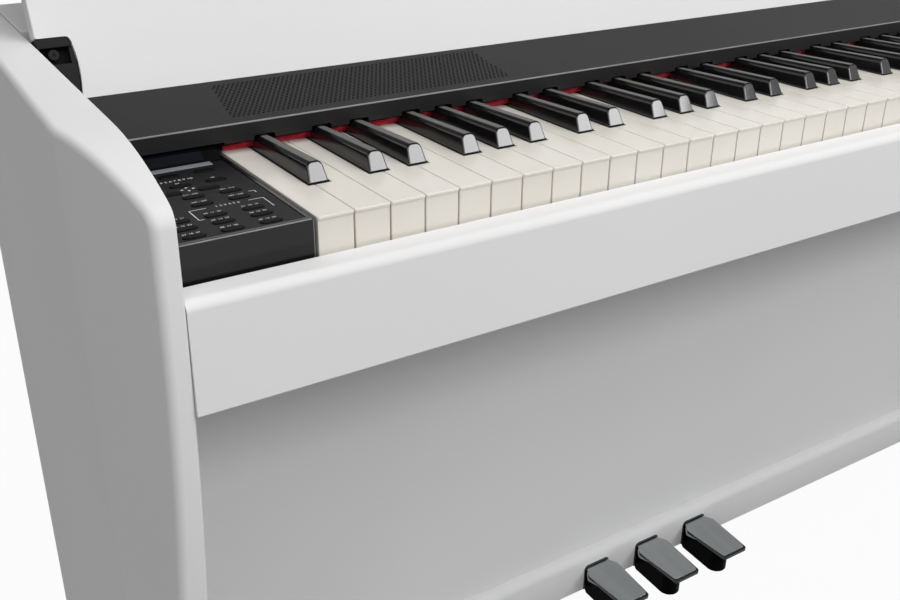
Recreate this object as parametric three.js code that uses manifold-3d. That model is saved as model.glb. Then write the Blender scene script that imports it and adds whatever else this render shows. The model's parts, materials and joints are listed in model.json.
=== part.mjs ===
// Console digital piano: a white cabinet with an 88-key keyboard, a control block at its left end,
// a folding lid and three pedals. Millimetres, +Z up, the player sits on the -Y side.
//
// Inside this file X = 0 is the middle of the keyboard, Y = 0 the front edge of the white keys' tops and
// Z = 0 the floor. The whole group is moved along Y at the end, so that the origin of the finished part
// is the middle of its footprint.
import * as THREE from 'three';
import { mergeVertices } from 'three/addons/utils/BufferGeometryUtils.js';
import Module from 'manifold-3d';

const wasm = await Module();
wasm.setup();

// ---------------------------------------------------------------- driving dimensions

const seatGap = 0.3;              // between two pieces that rest on each other
const runningGap = 1.2;           // between a moving piece and a fixed one beside it

// Keyboard
const keyPitch = 23.5;
const whiteCount = 52;
const keyGap = 1.0;               // between two neighbouring white keys
const keyTop = 750;               // top of the white keys over the floor
const whiteHeight = 24;
const whiteLip = 1.8;             // the key's front face stands ahead of its top's front edge
const blackFront = 49.6;          // front of a black key at the white key's top
const blackWidth = 13.5;
const blackTopWidth = 10;
const blackRise = 12;
const blackRearRise = 8.8;
const blackNose = 6;              // how far the black key's front slopes back
const blackGap = 1.0;             // between a black key and the white ones beside it
const shoulderGap = 1.4;          // ahead of it, because a pressed key's top also moves forward
const blackCapRear = 133;
const keyLength = 228;
const whitePivotY = 214;          // the white keys rock on a ridge under here
const whiteBarFront = 199;        // an octave's white keys are joined from here to their rear end
const whiteBarHeight = 8;
const blackPivotY = 238.5;        // the black keys' ridge is behind the white keys
const blackLength = 246;
const blackBarFront = 231;
const blackLeverTop = 1.5;        // below the top of the white keys
const blackLeverHeight = 8;       // where it crosses over the white keys' bar
const chassisRear = 250;
const keyDip = 10;

// Cabinet
const blockWidth = 84.2;          // control block, and the cheek block at the other end
const sideInner = whiteCount * keyPitch / 2 + blockWidth + 1.6;
const sideThickness = 32.5;       // at the crease of the outer face
const sideFrontThickness = 12.7;
const sideRearThickness = 25.7;
const creaseY = 72;
const cabinetFront = -24.6;
const cabinetRear = 350;
const topAtArc = 50.4;            // side panel's top over the white keys, where its straight part ends
const topArcY = 66;
const topSlope = 3.6 * Math.PI / 180;
const topArcRadius = 245;
const topCornerRadius = 12.7;
const boardThickness = 14;
const kneeFront = 328;

// The side panel's front edge sweeps back under the keyboard and forward again to its foot
const legSweepRadius = 1400;
const legSweepHeight = 380;
const legFootRadius = 461;
const legToeHeight = 15;

// Front rail and key bed
const railFront = -24;
const railInner = -3.8;
const railTop = keyTop - 22;
const railBottom = keyTop - 89.5;
const railRadius = 6;
const bedThickness = 16;

// Fascia over the keys' rear ends, with its skirt and the trough that the lid's tail swings in
const skirtFront = 127;
const skirtRear = 136.2;
const skirtBottom = 7.6;
const fasciaFrontRise = 20.3;
const fasciaRear = 216.6;
const fasciaSlope = 0.06;
const fasciaWall = 3;
const troughRise = 12;
const notchRise = 12.4;           // black keys pass through notches in the skirt
const notchGap = 1.3;
const grilleLeft = 15;            // grille's left end, from the keyboard's left end
const grilleLength = 222;
const grilleFront = 136;
const grilleDepth = 74;
const grilleSlotCount = 12;
const grilleSlotWidth = 6;

// Lid
const lidThickness = 14;
const lidInset = 2.2;             // closed, its face lies this far inside the side panels' outline
const lidHingeY = 235.3;
const lidTail = 31;
const lidLean = 20 * Math.PI / 180;
const lidLipThickness = 12;
const lidLipGap = 3;
const lidArmWidth = 22;
const lidArmTop = 10.6;
const lidPinRadius = 4;
const lidPinLength = 12;

// Control block
const blockFront = -1.5;
const blockRear = skirtRear;
const blockWall = 2.6;
const displayWidth = 56;
const displayFrontY = 121.5;
const displayRearY = 131;
const displayRise = 8.4;
const buttonLength = 13;
const buttonDepth = 5.5;
const buttonRise = 1.4;
const buttonTravel = 1.0;
const buttonWeb = 1.2;

// Pedals
const pedalPitch = 86.5;
const pedalRailFront = 313;
const pedalRailBottom = 28.5;
const pedalRailTop = 82;
const pedalRailWall = 12;
const pedalRailRadius = 10;
const collarWidth = 40;
const collarWall = 2.6;
const collarTop = 66;
const collarProud = 0.5;
const keelWidth = 28.5;
const keelRearBottom = 19.5;
const keelNoseBottom = 16.5;
const keelFront = 251.5;
const plateFront = 234;
const plateTop = 59;
const plateThickness = 3;
const plateWidth = 40.6;
const plateNeckWidth = 31;
const shoulderWidth = 48;         // the plate is widest here, where its sides are turned down
const shoulderY = 296;
const shoulderDrop = 8;
const axleY = 337;
const axleHeight = 50;
const axleRadius = 4;

// ---------------------------------------------------------------- finishes

const finish = (color, roughness, metalness = 0) =>
  new THREE.MeshStandardMaterial({ color, roughness, metalness });

const whiteSatin = finish(0xe6e7e8, 0.45);
const ivory = finish(0xdcd8cf, 0.3);
const glossBlack = finish(0x111112, 0.15);
const satinBlack = finish(0x2c2d2f, 0.5);
const rubberBlack = finish(0x202123, 0.7);
const redFelt = finish(0xb0122d, 0.95);
const chrome = finish(0xb9bdbf, 0.15, 1);
const steel = finish(0x9a9c9e, 0.4, 1);
const darkGlass = finish(0x10151c, 0.05);
const board = finish(0x1f5a38, 0.6);

// ---------------------------------------------------------------- geometry helpers

function solidOf(geometry) {
  const plain = geometry.index ? geometry.toNonIndexed() : geometry.clone();
  for (const name of Object.keys(plain.attributes)) {
    if (name !== 'position') plain.deleteAttribute(name);
  }
  const merged = mergeVertices(plain, 1e-4);
  return new wasm.Manifold(new wasm.Mesh({
    numProp: 3,
    vertProperties: new Float32Array(merged.attributes.position.array),
    triVerts: new Uint32Array(merged.index.array),
  }));
}

function geometryOf(solid) {
  const mesh = solid.getMesh();
  const geometry = new THREE.BufferGeometry();
  geometry.setAttribute('position', new THREE.BufferAttribute(mesh.vertProperties, 3));
  geometry.setIndex(new THREE.BufferAttribute(mesh.triVerts, 1));
  return geometry;
}

const joined = (...geometries) =>
  geometryOf(geometries.map(solidOf).reduce((whole, piece) => whole.add(piece)));

function cut(geometry, ...cutters) {
  return geometryOf(cutters.map(solidOf).reduce((whole, cutter) => whole.subtract(cutter), solidOf(geometry)));
}

const common = (first, second) => geometryOf(solidOf(first).intersect(solidOf(second)));

function shapeOf(points) {
  const shape = new THREE.Shape();
  points.forEach(([a, b], index) => (index ? shape.lineTo(a, b) : shape.moveTo(a, b)));
  shape.closePath();
  return shape;
}

function extruded(shape, depth, curveSegments = 6) {
  return new THREE.ExtrudeGeometry(shape, { depth, bevelEnabled: false, curveSegments });
}

// A section drawn in (y, z), swept along X
function sweptX(shape, xFrom, xTo, curveSegments) {
  const axes = new THREE.Matrix4().makeBasis(
    new THREE.Vector3(0, 1, 0), new THREE.Vector3(0, 0, 1), new THREE.Vector3(1, 0, 0));
  return extruded(shape, xTo - xFrom, curveSegments).applyMatrix4(axes).translate(xFrom, 0, 0);
}

// An outline drawn in (x, y), swept along Z
function sweptZ(shape, zFrom, zTo, curveSegments) {
  return extruded(shape, zTo - zFrom, curveSegments).translate(0, 0, zFrom);
}

function block(xFrom, xTo, yFrom, yTo, zFrom, zTo) {
  return new THREE.BoxGeometry(xTo - xFrom, yTo - yFrom, zTo - zFrom)
    .translate((xFrom + xTo) / 2, (yFrom + yTo) / 2, (zFrom + zTo) / 2);
}

function rodX(radius, xFrom, xTo, y, z, sides = 16) {
  return new THREE.CylinderGeometry(radius, radius, xTo - xFrom, sides)
    .rotateZ(Math.PI / 2)
    .translate((xFrom + xTo) / 2, y, z);
}

const piano = new THREE.Group();

function place(name, geometry, material) {
  const mesh = new THREE.Mesh(geometry, material);
  mesh.name = name;
  piano.add(mesh);
  return mesh;
}

// ---------------------------------------------------------------- cabinet outline

const topLine = (y) => keyTop + topAtArc + (y - topArcY) * Math.tan(topSlope);

// Angle below the horizontal at which the long arc of the top meets the corner arc, when the whole outline
// is drawn inset millimetres inside the side panel's own
function cornerAngle(inset) {
  const long = topArcRadius - inset;
  const small = Math.max(topCornerRadius - inset, 0);
  const face = cabinetFront + inset;
  const centreY = topArcY + topArcRadius * Math.sin(topSlope);
  return Math.asin((centreY - small - face) / (long - small));
}

// Adds the top's long arc and its corner to a path that arrives from the rear, at this inset
function addTopArcs(path, inset) {
  const long = topArcRadius - inset;
  const small = Math.max(topCornerRadius - inset, 0);
  const angle = cornerAngle(inset);
  const centreY = topArcY + topArcRadius * Math.sin(topSlope);
  const centreZ = keyTop + topAtArc - topArcRadius * Math.cos(topSlope);
  path.absarc(centreY, centreZ, long, Math.PI / 2 + topSlope, Math.PI / 2 + angle, false);
  const cornerY = centreY - (long - small) * Math.sin(angle);
  const cornerZ = centreZ + (long - small) * Math.cos(angle);
  if (small > 0) path.absarc(cornerY, cornerZ, small, Math.PI / 2 + angle, Math.PI, false);
}

function sideProfile() {
  const shape = new THREE.Shape();
  shape.moveTo(cabinetRear, 0);
  shape.lineTo(cabinetRear, topLine(cabinetRear));
  addTopArcs(shape, 0);
  shape.lineTo(cabinetFront, keyTop);
  const sweep = Math.asin(legSweepHeight / legSweepRadius);
  shape.absarc(cabinetFront + legSweepRadius, keyTop, legSweepRadius, Math.PI, Math.PI + sweep, false);
  const sweepY = cabinetFront + legSweepRadius * (1 - Math.cos(sweep));
  const sweepZ = keyTop - legSweepHeight;
  const centreY = sweepY - legFootRadius * Math.cos(sweep);
  const centreZ = sweepZ - legFootRadius * Math.sin(sweep);
  const toeAngle = Math.asin((centreZ - legToeHeight) / legFootRadius);
  shape.absarc(centreY, centreZ, legFootRadius, sweep, -toeAngle, true);
  shape.lineTo(centreY + legFootRadius * Math.cos(toeAngle), 0);
  shape.closePath();
  return shape;
}

// The outer face is folded along an upright crease: the panel is thickest there
function sidePlan() {
  return shapeOf([
    [0, cabinetFront - 1],
    [0, cabinetRear + 1],
    [-sideRearThickness, cabinetRear + 1],
    [-sideThickness, creaseY],
    [-sideFrontThickness, cabinetFront],
    [-sideFrontThickness, cabinetFront - 1],
  ]);
}

function sidePanel() {
  const profile = sweptX(sideProfile(), -sideThickness - 1, 1, 12);
  const plan = sweptZ(sidePlan(), -1, topLine(cabinetRear) + 1);
  const bore = rodX(lidPinRadius + 0.45, -lidPinLength - seatGap, 1, lidHingeY, lidHingeZ);
  return cut(common(profile, plan), bore);
}

// ---------------------------------------------------------------- lid hinge

const lidHingeZ = topLine(lidHingeY) - (lidInset + lidThickness / 2) / Math.cos(topSlope);
const lidSwing = Math.PI / 2 + topSlope + lidLean;

// Turns geometry drawn with the lid closed to the open lid's place
function openLid(geometry) {
  return geometry.translate(0, -lidHingeY, -lidHingeZ).rotateX(-lidSwing).translate(0, lidHingeY, lidHingeZ);
}

// Places geometry drawn along the closed lid: x, distance forward of the hinge, height over its middle plane
function onLid(geometry) {
  const along = new THREE.Vector3(0, -Math.cos(topSlope), -Math.sin(topSlope));
  const over = new THREE.Vector3(0, -Math.sin(topSlope), Math.cos(topSlope));
  const across = new THREE.Vector3(-1, 0, 0);
  const axes = new THREE.Matrix4().makeBasis(across, along, over);
  return openLid(geometry.applyMatrix4(axes).translate(0, lidHingeY, lidHingeZ));
}

const lidEnd = sideInner - runningGap;

function lidSection() {
  const outer = lidInset;
  const inner = lidInset + lidThickness;
  const tailY = lidHingeY + lidTail * Math.cos(topSlope);
  const faceOf = (inset, y) => topLine(y) - inset / Math.cos(topSlope);
  const lipBottom = railTop + lidLipGap;
  const lipInner = cabinetFront + outer + lidLipThickness;
  const centreY = topArcY + topArcRadius * Math.sin(topSlope);
  const centreZ = keyTop + topAtArc - topArcRadius * Math.cos(topSlope);
  const radius = topArcRadius - inner;
  const innerAngle = Math.asin((centreY - lipInner) / radius);
  const shape = new THREE.Shape();
  shape.moveTo(tailY, faceOf(outer, tailY));
  addTopArcs(shape, outer);
  shape.lineTo(cabinetFront + outer, lipBottom);
  shape.lineTo(lipInner, lipBottom);
  shape.absarc(centreY, centreZ, radius, Math.PI / 2 + innerAngle, Math.PI / 2 + topSlope, true);
  shape.lineTo(tailY, faceOf(inner, tailY));
  shape.closePath();
  return shape;
}

function lid() {
  const board = openLid(sweptX(lidSection(), -lidEnd, lidEnd, 8));
  const notch = (side) => onLid(block(
    side > 0 ? lidEnd - lidArmWidth - seatGap : -lidEnd - 1,
    side > 0 ? lidEnd + 1 : -lidEnd + lidArmWidth + seatGap,
    -lidTail - 1, lidArmTop, -lidThickness, lidThickness));
  return cut(board, notch(1), notch(-1));
}

// Black arm in the lid's lower corner, drawn along the closed lid; side is +1 at the left end because
// onLid() turns x round
function lidArm(side) {
  const outerX = side * lidEnd;
  const innerX = side * (lidEnd - lidArmWidth);
  const low = Math.min(outerX, innerX);
  const high = Math.max(outerX, innerX);
  const half = lidThickness / 2 - 0.4;
  const top = lidArmTop - seatGap;
  const middle = (low + high) / 2;
  const back = block(low, high, -lidTail, top, 0.6, half);
  const flange = block(low, high, top - 6, top, -half, 1);
  const step = block(low, high, -lidTail, -6, -half + 1.6, 1);
  const boss = new THREE.CylinderGeometry(3.6, 4, half + 1, 12)
    .rotateX(Math.PI / 2)
    .translate(middle, 1, -(half - 1) / 2);
  const pin = rodX(lidPinRadius, side > 0 ? outerX - 2 : outerX - lidPinLength,
    side > 0 ? outerX + lidPinLength : outerX + 2, 0, 0);
  const cheek = block(side > 0 ? outerX - 2.4 : outerX, side > 0 ? outerX : outerX + 2.4, -7, 7, -half, 1);
  return onLid(joined(back, flange, step, boss, pin, cheek));
}

// ---------------------------------------------------------------- cabinet boards

const boardEnd = sideInner - seatGap;

function frontRail() {
  const shape = new THREE.Shape();
  shape.moveTo(railInner, railBottom);
  shape.lineTo(railInner, railTop);
  shape.lineTo(railFront + railRadius, railTop);
  shape.absarc(railFront + railRadius, railTop - railRadius, railRadius, Math.PI / 2, Math.PI, false);
  shape.lineTo(railFront, railBottom);
  shape.closePath();
  return sweptX(shape, -boardEnd, boardEnd);
}

const bedRear = cabinetRear - boardThickness - seatGap;
const rearTopFront = lidHingeY + lidTail + 3;

function rearTopPanel() {
  const shape = shapeOf([
    [rearTopFront, topLine(rearTopFront)],
    [rearTopFront, topLine(rearTopFront) - boardThickness],
    [cabinetRear, topLine(cabinetRear) - boardThickness],
    [cabinetRear, topLine(cabinetRear)],
  ]);
  return sweptX(shape, -boardEnd, boardEnd);
}

const jackPanelLeft = -120;
const jackPanelLength = 140;
const jackPanelHeight = 46;
const jackPanelMiddle = keyTop - 30;
const jackPanelInset = 1;
const inletDepth = 9;

function rearPanel() {
  const top = topLine(cabinetRear - boardThickness) - boardThickness - seatGap;
  const panel = block(-boardEnd, boardEnd, cabinetRear - boardThickness, cabinetRear, railBottom, top);
  const window = block(jackPanelLeft, jackPanelLeft + jackPanelLength,
    cabinetRear - boardThickness - 1, cabinetRear + 1,
    jackPanelMiddle - jackPanelHeight / 2, jackPanelMiddle + jackPanelHeight / 2);
  return cut(panel, window);
}

// Moulding let into the rear panel: the mains inlet's pocket and a row of socket collars
function jackPanel() {
  const low = jackPanelMiddle - jackPanelHeight / 2 + seatGap;
  const high = jackPanelMiddle + jackPanelHeight / 2 - seatGap;
  const left = jackPanelLeft + seatGap;
  const right = jackPanelLeft + jackPanelLength - seatGap;
  const face = cabinetRear - jackPanelInset - 1.5;
  const plate = block(left, right, cabinetRear - boardThickness, face, low, high);
  const collars = [];
  for (let index = 0; index < 4; index += 1) {
    collars.push(new THREE.CylinderGeometry(6, 6, 3, 16)
      .translate(left + 16 + index * 22, face, jackPanelMiddle));
  }
  const inletMiddle = right - 24;
  const inlet = block(inletMiddle - 12, inletMiddle + 12, face - inletDepth, face + 3,
    jackPanelMiddle - 9, jackPanelMiddle + 9);
  return cut(joined(plate, ...collars), inlet);
}

// ---------------------------------------------------------------- fascia, grilles and felt

const keyboardLeft = -whiteCount * keyPitch / 2;
const fasciaTop = (y) => keyTop + fasciaFrontRise + (y - skirtFront) * fasciaSlope;
const letters = ['A', 'B', 'C', 'D', 'E', 'F', 'G'];
const sharpShift = { A: 3.36, C: -2.35, D: 2.35, F: -3.36, G: 0 };

const letterOf = (white) => letters[white % letters.length];
const hasSharp = (white) => letterOf(white) in sharpShift && white < whiteCount - 1;
const sharpMiddle = (white) => keyboardLeft + (white + 1) * keyPitch + sharpShift[letterOf(white)];

function grilleOutline(side, grow) {
  const left = side < 0 ? keyboardLeft + grilleLeft : -keyboardLeft - grilleLeft - grilleLength;
  return [left - grow, left + grilleLength + grow, grilleFront - grow, grilleFront + grilleDepth + grow];
}

function fascia() {
  const rearWall = rearTopFront - 0.6;
  const shape = shapeOf([
    [skirtFront, keyTop + skirtBottom],
    [skirtFront, fasciaTop(skirtFront)],
    [fasciaRear, fasciaTop(fasciaRear)],
    [fasciaRear, keyTop + troughRise],
    [rearWall - fasciaWall, keyTop + troughRise],
    [rearWall - fasciaWall, topLine(rearWall) - 22],
    [rearWall, topLine(rearWall) - 22],
    [rearWall, keyTop + troughRise - fasciaWall],
    [fasciaRear - fasciaWall, keyTop + troughRise - fasciaWall],
    [fasciaRear - fasciaWall, fasciaTop(fasciaRear) - fasciaWall],
    [skirtRear, fasciaTop(skirtRear) - fasciaWall],
    [skirtRear, keyTop + skirtBottom],
  ]);
  const cutters = [];
  for (let white = 0; white < whiteCount; white += 1) {
    if (!hasSharp(white)) continue;
    const half = blackWidth / 2 + notchGap;
    const middle = sharpMiddle(white);
    cutters.push(block(middle - half, middle + half, skirtFront - 1, skirtRear + 1,
      keyTop, keyTop + notchRise));
  }
  for (const side of [-1, 1]) {
    const [left, right, front, rear] = grilleOutline(side, 0);
    cutters.push(block(left, right, front, rear, keyTop + troughRise, keyTop + fasciaFrontRise + 20));
    const end = side * boardEnd;
    const inner = side * (-keyboardLeft + 0.8);
    cutters.push(block(Math.min(end, inner) - 1, Math.max(end, inner) + (side > 0 ? 1 : 0),
      skirtFront - 1, skirtRear + 1, keyTop, keyTop + displayRise + 0.6));
  }
  return cut(sweptX(shape, -boardEnd, boardEnd), ...cutters);
}

// Perforated sheet, flush in the fascia's top; the slots stand for its fine holes
function speakerGrille(side) {
  const [left, right, front, rear] = grilleOutline(side, -seatGap);
  const shape = shapeOf([
    [front, fasciaTop(front)], [rear, fasciaTop(rear)],
    [rear, fasciaTop(rear) - fasciaWall], [front, fasciaTop(front) - fasciaWall],
  ]);
  const slots = [];
  const pitch = (right - left) / grilleSlotCount;
  for (let index = 0; index < grilleSlotCount; index += 1) {
    const x = left + (index + 0.5) * pitch;
    slots.push(block(x - grilleSlotWidth / 2, x + grilleSlotWidth / 2, front + 8, rear - 8,
      keyTop + troughRise, keyTop + fasciaFrontRise + 20));
  }
  return cut(sweptX(shape, left, right), ...slots);
}

function feltStrip() {
  const half = -keyboardLeft - 1;
  return block(-half, half, skirtRear + seatGap, skirtRear + 2.3, keyTop + 0.6, keyTop + notchRise + 1.4);
}

// ---------------------------------------------------------------- control block and cheek block

const blockOuter = sideInner - 0.4;
const blockInner = blockOuter - blockWidth + 0.4;
const bedTop = railBottom + bedThickness;

// Hollow moulding, open at the bottom; side is -1 at the left
function endBlock(side) {
  const left = side < 0 ? -blockOuter : blockInner;
  const right = side < 0 ? -blockInner : blockOuter;
  const low = bedTop + seatGap;
  const shell = block(left, right, blockFront, blockRear, low, keyTop);
  const hollow = block(left + blockWall, right - blockWall, blockFront + blockWall, blockRear - blockWall,
    low - 1, keyTop - blockWall);
  return cut(shell, hollow);
}

// Buttons, from the keyboard's left end; the two groups are two rubber mats with caps on a common web
const buttonColumn = [-23.5, -45.8, -67.2];
const cursorButtons = [
  [buttonColumn[0], 106.8], [buttonColumn[1], 106.8],
  [buttonColumn[0], 87], [buttonColumn[1], 87],
  [-32.6, 75.4], [-55.6, 75.4],
  [buttonColumn[0], 64.2], [buttonColumn[1], 65],
  [buttonColumn[0], 51.2], [buttonColumn[1], 51.2],
];
const soundButtons = [31.3, 19.6, 7].flatMap((y) => buttonColumn.map((x) => [x, y]));

function buttonShape([x, y], grow) {
  const radius = buttonDepth / 2 + grow;
  const reach = buttonLength / 2 - buttonDepth / 2;
  const middle = keyboardLeft + x;
  const shape = new THREE.Shape();
  shape.absarc(middle + reach, y, radius, -Math.PI / 2, Math.PI / 2, false);
  shape.absarc(middle - reach, y, radius, Math.PI / 2, Math.PI * 1.5, false);
  shape.closePath();
  return shape;
}

function controlBlock() {
  const holes = [...cursorButtons, ...soundButtons]
    .map((spot) => sweptZ(buttonShape(spot, seatGap + 0.1), keyTop - blockWall - 1, keyTop + 1, 3));
  return cut(endBlock(-1), ...holes);
}

function buttonMat(spots) {
  const top = keyTop - blockWall - seatGap;
  const margin = 5;
  const xs = spots.map(([x]) => keyboardLeft + x);
  const ys = spots.map(([, y]) => y);
  const web = block(Math.min(...xs) - buttonLength / 2 - 1, Math.max(...xs) + buttonLength / 2 + 1,
    Math.min(...ys) - margin + 1.2, Math.max(...ys) + margin, top - buttonWeb, top);
  const caps = spots.map((spot) => sweptZ(buttonShape(spot, 0), top - buttonWeb / 2, keyTop + buttonRise, 3));
  return joined(web, ...caps);
}

// Sloping window in front of the skirt
function displayWindow() {
  const right = keyboardLeft - 6.2;
  const shape = shapeOf([
    [displayFrontY, keyTop + seatGap],
    [displayFrontY, keyTop + 1],
    [displayRearY, keyTop + displayRise],
    [displayRearY + 2, keyTop + displayRise],
    [displayRearY + 2, keyTop + seatGap],
  ]);
  return sweptX(shape, right - displayWidth, right);
}

// ---------------------------------------------------------------- keys

const keyUnder = keyTop - whiteHeight;
const sharpHalf = blackWidth / 2 + blackGap;
const shoulder = blackFront - shoulderGap;

// Outline of a white key's top: full width in front, narrower between the black keys
function whiteOutline(white) {
  const left = keyboardLeft + white * keyPitch + keyGap / 2;
  const right = left + keyPitch - keyGap;
  const notchLeft = white > 0 && hasSharp(white - 1) ? sharpMiddle(white - 1) + sharpHalf : left;
  const notchRight = hasSharp(white) ? sharpMiddle(white) - sharpHalf : right;
  const points = [[left, -whiteLip], [right, -whiteLip]];
  if (notchRight !== right) points.push([right, shoulder]);
  if (notchRight !== right) points.push([notchRight, shoulder]);
  points.push([notchRight, keyLength], [notchLeft, keyLength]);
  if (notchLeft !== left) points.push([notchLeft, shoulder], [left, shoulder]);
  return shapeOf(points);
}

const whiteKey = (white) => sweptZ(whiteOutline(white), keyUnder, keyTop);

// Body between the white keys, with the raised cap whose top slopes to the rear. Behind the cap its underside
// steps up over the white keys' bar, and comes down again onto its own ridge.
function blackKey(white) {
  const middle = sharpMiddle(white);
  const base = blackWidth / 2;
  const top = blackTopWidth / 2;
  const leverTop = keyTop - blackLeverTop;
  const section = shapeOf([
    [-base, keyUnder], [base, keyUnder], [base, keyTop],
    [top, keyTop + blackRise], [-top, keyTop + blackRise], [-base, keyTop],
  ]);
  const bar = extruded(section, blackLength - blackFront)
    .rotateX(Math.PI / 2)
    .translate(middle, blackLength, 0);
  const side = shapeOf([
    [blackFront, keyUnder],
    [whiteBarFront - 2, keyUnder],
    [whiteBarFront - 2, leverTop - blackLeverHeight],
    [blackBarFront, leverTop - blackLeverHeight],
    [blackBarFront, keyUnder],
    [blackLength, keyUnder],
    [blackLength, leverTop],
    [blackCapRear, leverTop],
    [blackCapRear, keyTop + blackRearRise],
    [blackFront + blackNose, keyTop + blackRise],
    [blackFront, keyTop],
  ]);
  return common(bar, sweptX(side, middle - base - 1, middle + base + 1));
}

// An octave's white keys are joined by a low bar at their rear end
function whiteComb(first, last) {
  const from = keyboardLeft + first * keyPitch + keyGap / 2;
  const to = keyboardLeft + (last + 1) * keyPitch - keyGap / 2;
  const barTop = keyUnder + whiteBarHeight;
  const over = block(from - 1, to + 1, whiteBarFront - 2, keyLength + 1, barTop, keyTop + 1);
  const keys = [];
  for (let white = first; white <= last; white += 1) keys.push(cut(whiteKey(white), over));
  return joined(block(from, to, whiteBarFront, keyLength, keyUnder, barTop), ...keys);
}

// An octave's black keys are joined by a bar behind the white keys
function blackComb(first, last) {
  const whites = [];
  for (let white = first; white <= last; white += 1) {
    if (hasSharp(white)) whites.push(white);
  }
  const from = sharpMiddle(whites[0]) - blackWidth / 2;
  const to = sharpMiddle(whites[whites.length - 1]) + blackWidth / 2;
  const bar = block(from, to, blackBarFront, blackLength, keyUnder, keyTop - blackLeverTop);
  return joined(bar, ...whites.map(blackKey));
}

// Pressed-steel frame on the key bed: a ridge under each row of pivots and a stop rail under the keys' fronts
function keyChassis() {
  const half = -keyboardLeft - 1;
  const low = bedTop + seatGap;
  const floor = low + 3;
  const ridgeTop = keyUnder - seatGap;
  const stop = keyUnder - keyDip - 3;
  const ridge = (y) => [[y + 2, floor], [y + 1.2, ridgeTop], [y - 1.2, ridgeTop], [y - 2, floor]];
  const shape = shapeOf([
    [8, low], [chassisRear, low], [chassisRear, floor],
    ...ridge(blackPivotY), ...ridge(whitePivotY),
    [30, floor], [30, stop], [8, stop],
  ]);
  return sweptX(shape, -half, half);
}

// ---------------------------------------------------------------- inside the rear of the cabinet

// Boxed loudspeaker whose cone faces the space under the grille
function speaker(side) {
  const middle = side * (-keyboardLeft - grilleLeft - grilleLength / 2);
  const front = chassisRear + 4;
  const low = bedTop + seatGap;
  const high = keyTop + troughRise - fasciaWall - 2;
  const box = block(middle - 62, middle + 62, front, front + 70, low, high);
  const centre = (low + high) / 2;
  const cone = new THREE.CylinderGeometry(37, 14, 18, 24)
    .rotateX(Math.PI / 2)
    .translate(middle, front + 8, centre);
  return cut(box, cone);
}

function mainBoard() {
  const low = bedTop + seatGap;
  const front = chassisRear + 4;
  const rear = front + 72;
  const sheet = block(-300, -140, front, rear, low + 6, low + 8);
  const chips = [[-285, -255, 20], [-240, -215, 12], [-200, -160, 26]]
    .map(([from, to, rise]) => block(from, to, front + 16, front + 50, low + 7, low + 7 + rise));
  const legs = [[-296, front + 4], [-148, front + 4], [-296, rear - 8], [-148, rear - 8]]
    .map(([x, y]) => block(x, x + 4, y, y + 4, low, low + 7));
  return joined(sheet, ...chips, ...legs);
}

// ---------------------------------------------------------------- pedals

const pedalSpots = { left: -pedalPitch, middle: 0, right: pedalPitch };
const plateRear = pedalRailFront + 6;

// Box beam on the floor side of the back: front wall with three notches and a top board
function pedalRail() {
  const wallRear = pedalRailFront + pedalRailWall;
  const shape = new THREE.Shape();
  shape.moveTo(pedalRailFront, pedalRailBottom);
  shape.lineTo(wallRear, pedalRailBottom);
  shape.lineTo(wallRear, pedalRailTop - pedalRailWall);
  shape.lineTo(cabinetRear, pedalRailTop - pedalRailWall);
  shape.lineTo(cabinetRear, pedalRailTop);
  shape.lineTo(pedalRailFront + pedalRailRadius, pedalRailTop);
  shape.absarc(pedalRailFront + pedalRailRadius, pedalRailTop - pedalRailRadius, pedalRailRadius,
    Math.PI / 2, Math.PI, false);
  shape.closePath();
  const half = collarWidth / 2 + seatGap;
  const notches = Object.values(pedalSpots).map((x) => block(x - half, x + half,
    pedalRailFront - 1, wallRear + 1, pedalRailBottom - 1, collarTop + seatGap));
  return cut(sweptX(shape, -boardEnd, boardEnd, 4), ...notches);
}

// Black moulding behind the rail: three collars round the pedals and ears that carry the axle
function pedalFrame() {
  const half = collarWidth / 2;
  const rear = pedalRailFront + pedalRailWall + 3;
  const front = pedalRailFront - collarProud;
  const inner = half - collarWall;
  const under = pedalRailTop - pedalRailWall - seatGap;
  const solids = [];
  const voids = [];
  for (const x of Object.values(pedalSpots)) {
    solids.push(block(x - half, x + half, front, rear, pedalRailBottom, collarTop));
    voids.push(block(x - inner, x + inner, front - 1, rear + 1, pedalRailBottom - 1, collarTop - collarWall));
    for (const side of [-1, 1]) {
      const ear = x + side * (half + 1);
      solids.push(block(ear - 3, ear + 3, rear - 2.7, axleY + 8, axleHeight - 9, under));
    }
  }
  const strip = block(-pedalPitch - half - 4, pedalPitch + half + 4,
    rear - 2.7, rear, collarTop - collarWall, under);
  const axleHole = rodX(axleRadius + 0.45, -pedalPitch * 2, pedalPitch * 2, axleY, axleHeight);
  return cut(joined(strip, ...solids), ...voids, axleHole);
}

function pedalAxle() {
  const reach = pedalPitch + collarWidth / 2 + 10;
  return rodX(axleRadius, -reach, reach, axleY, axleHeight);
}

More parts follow.
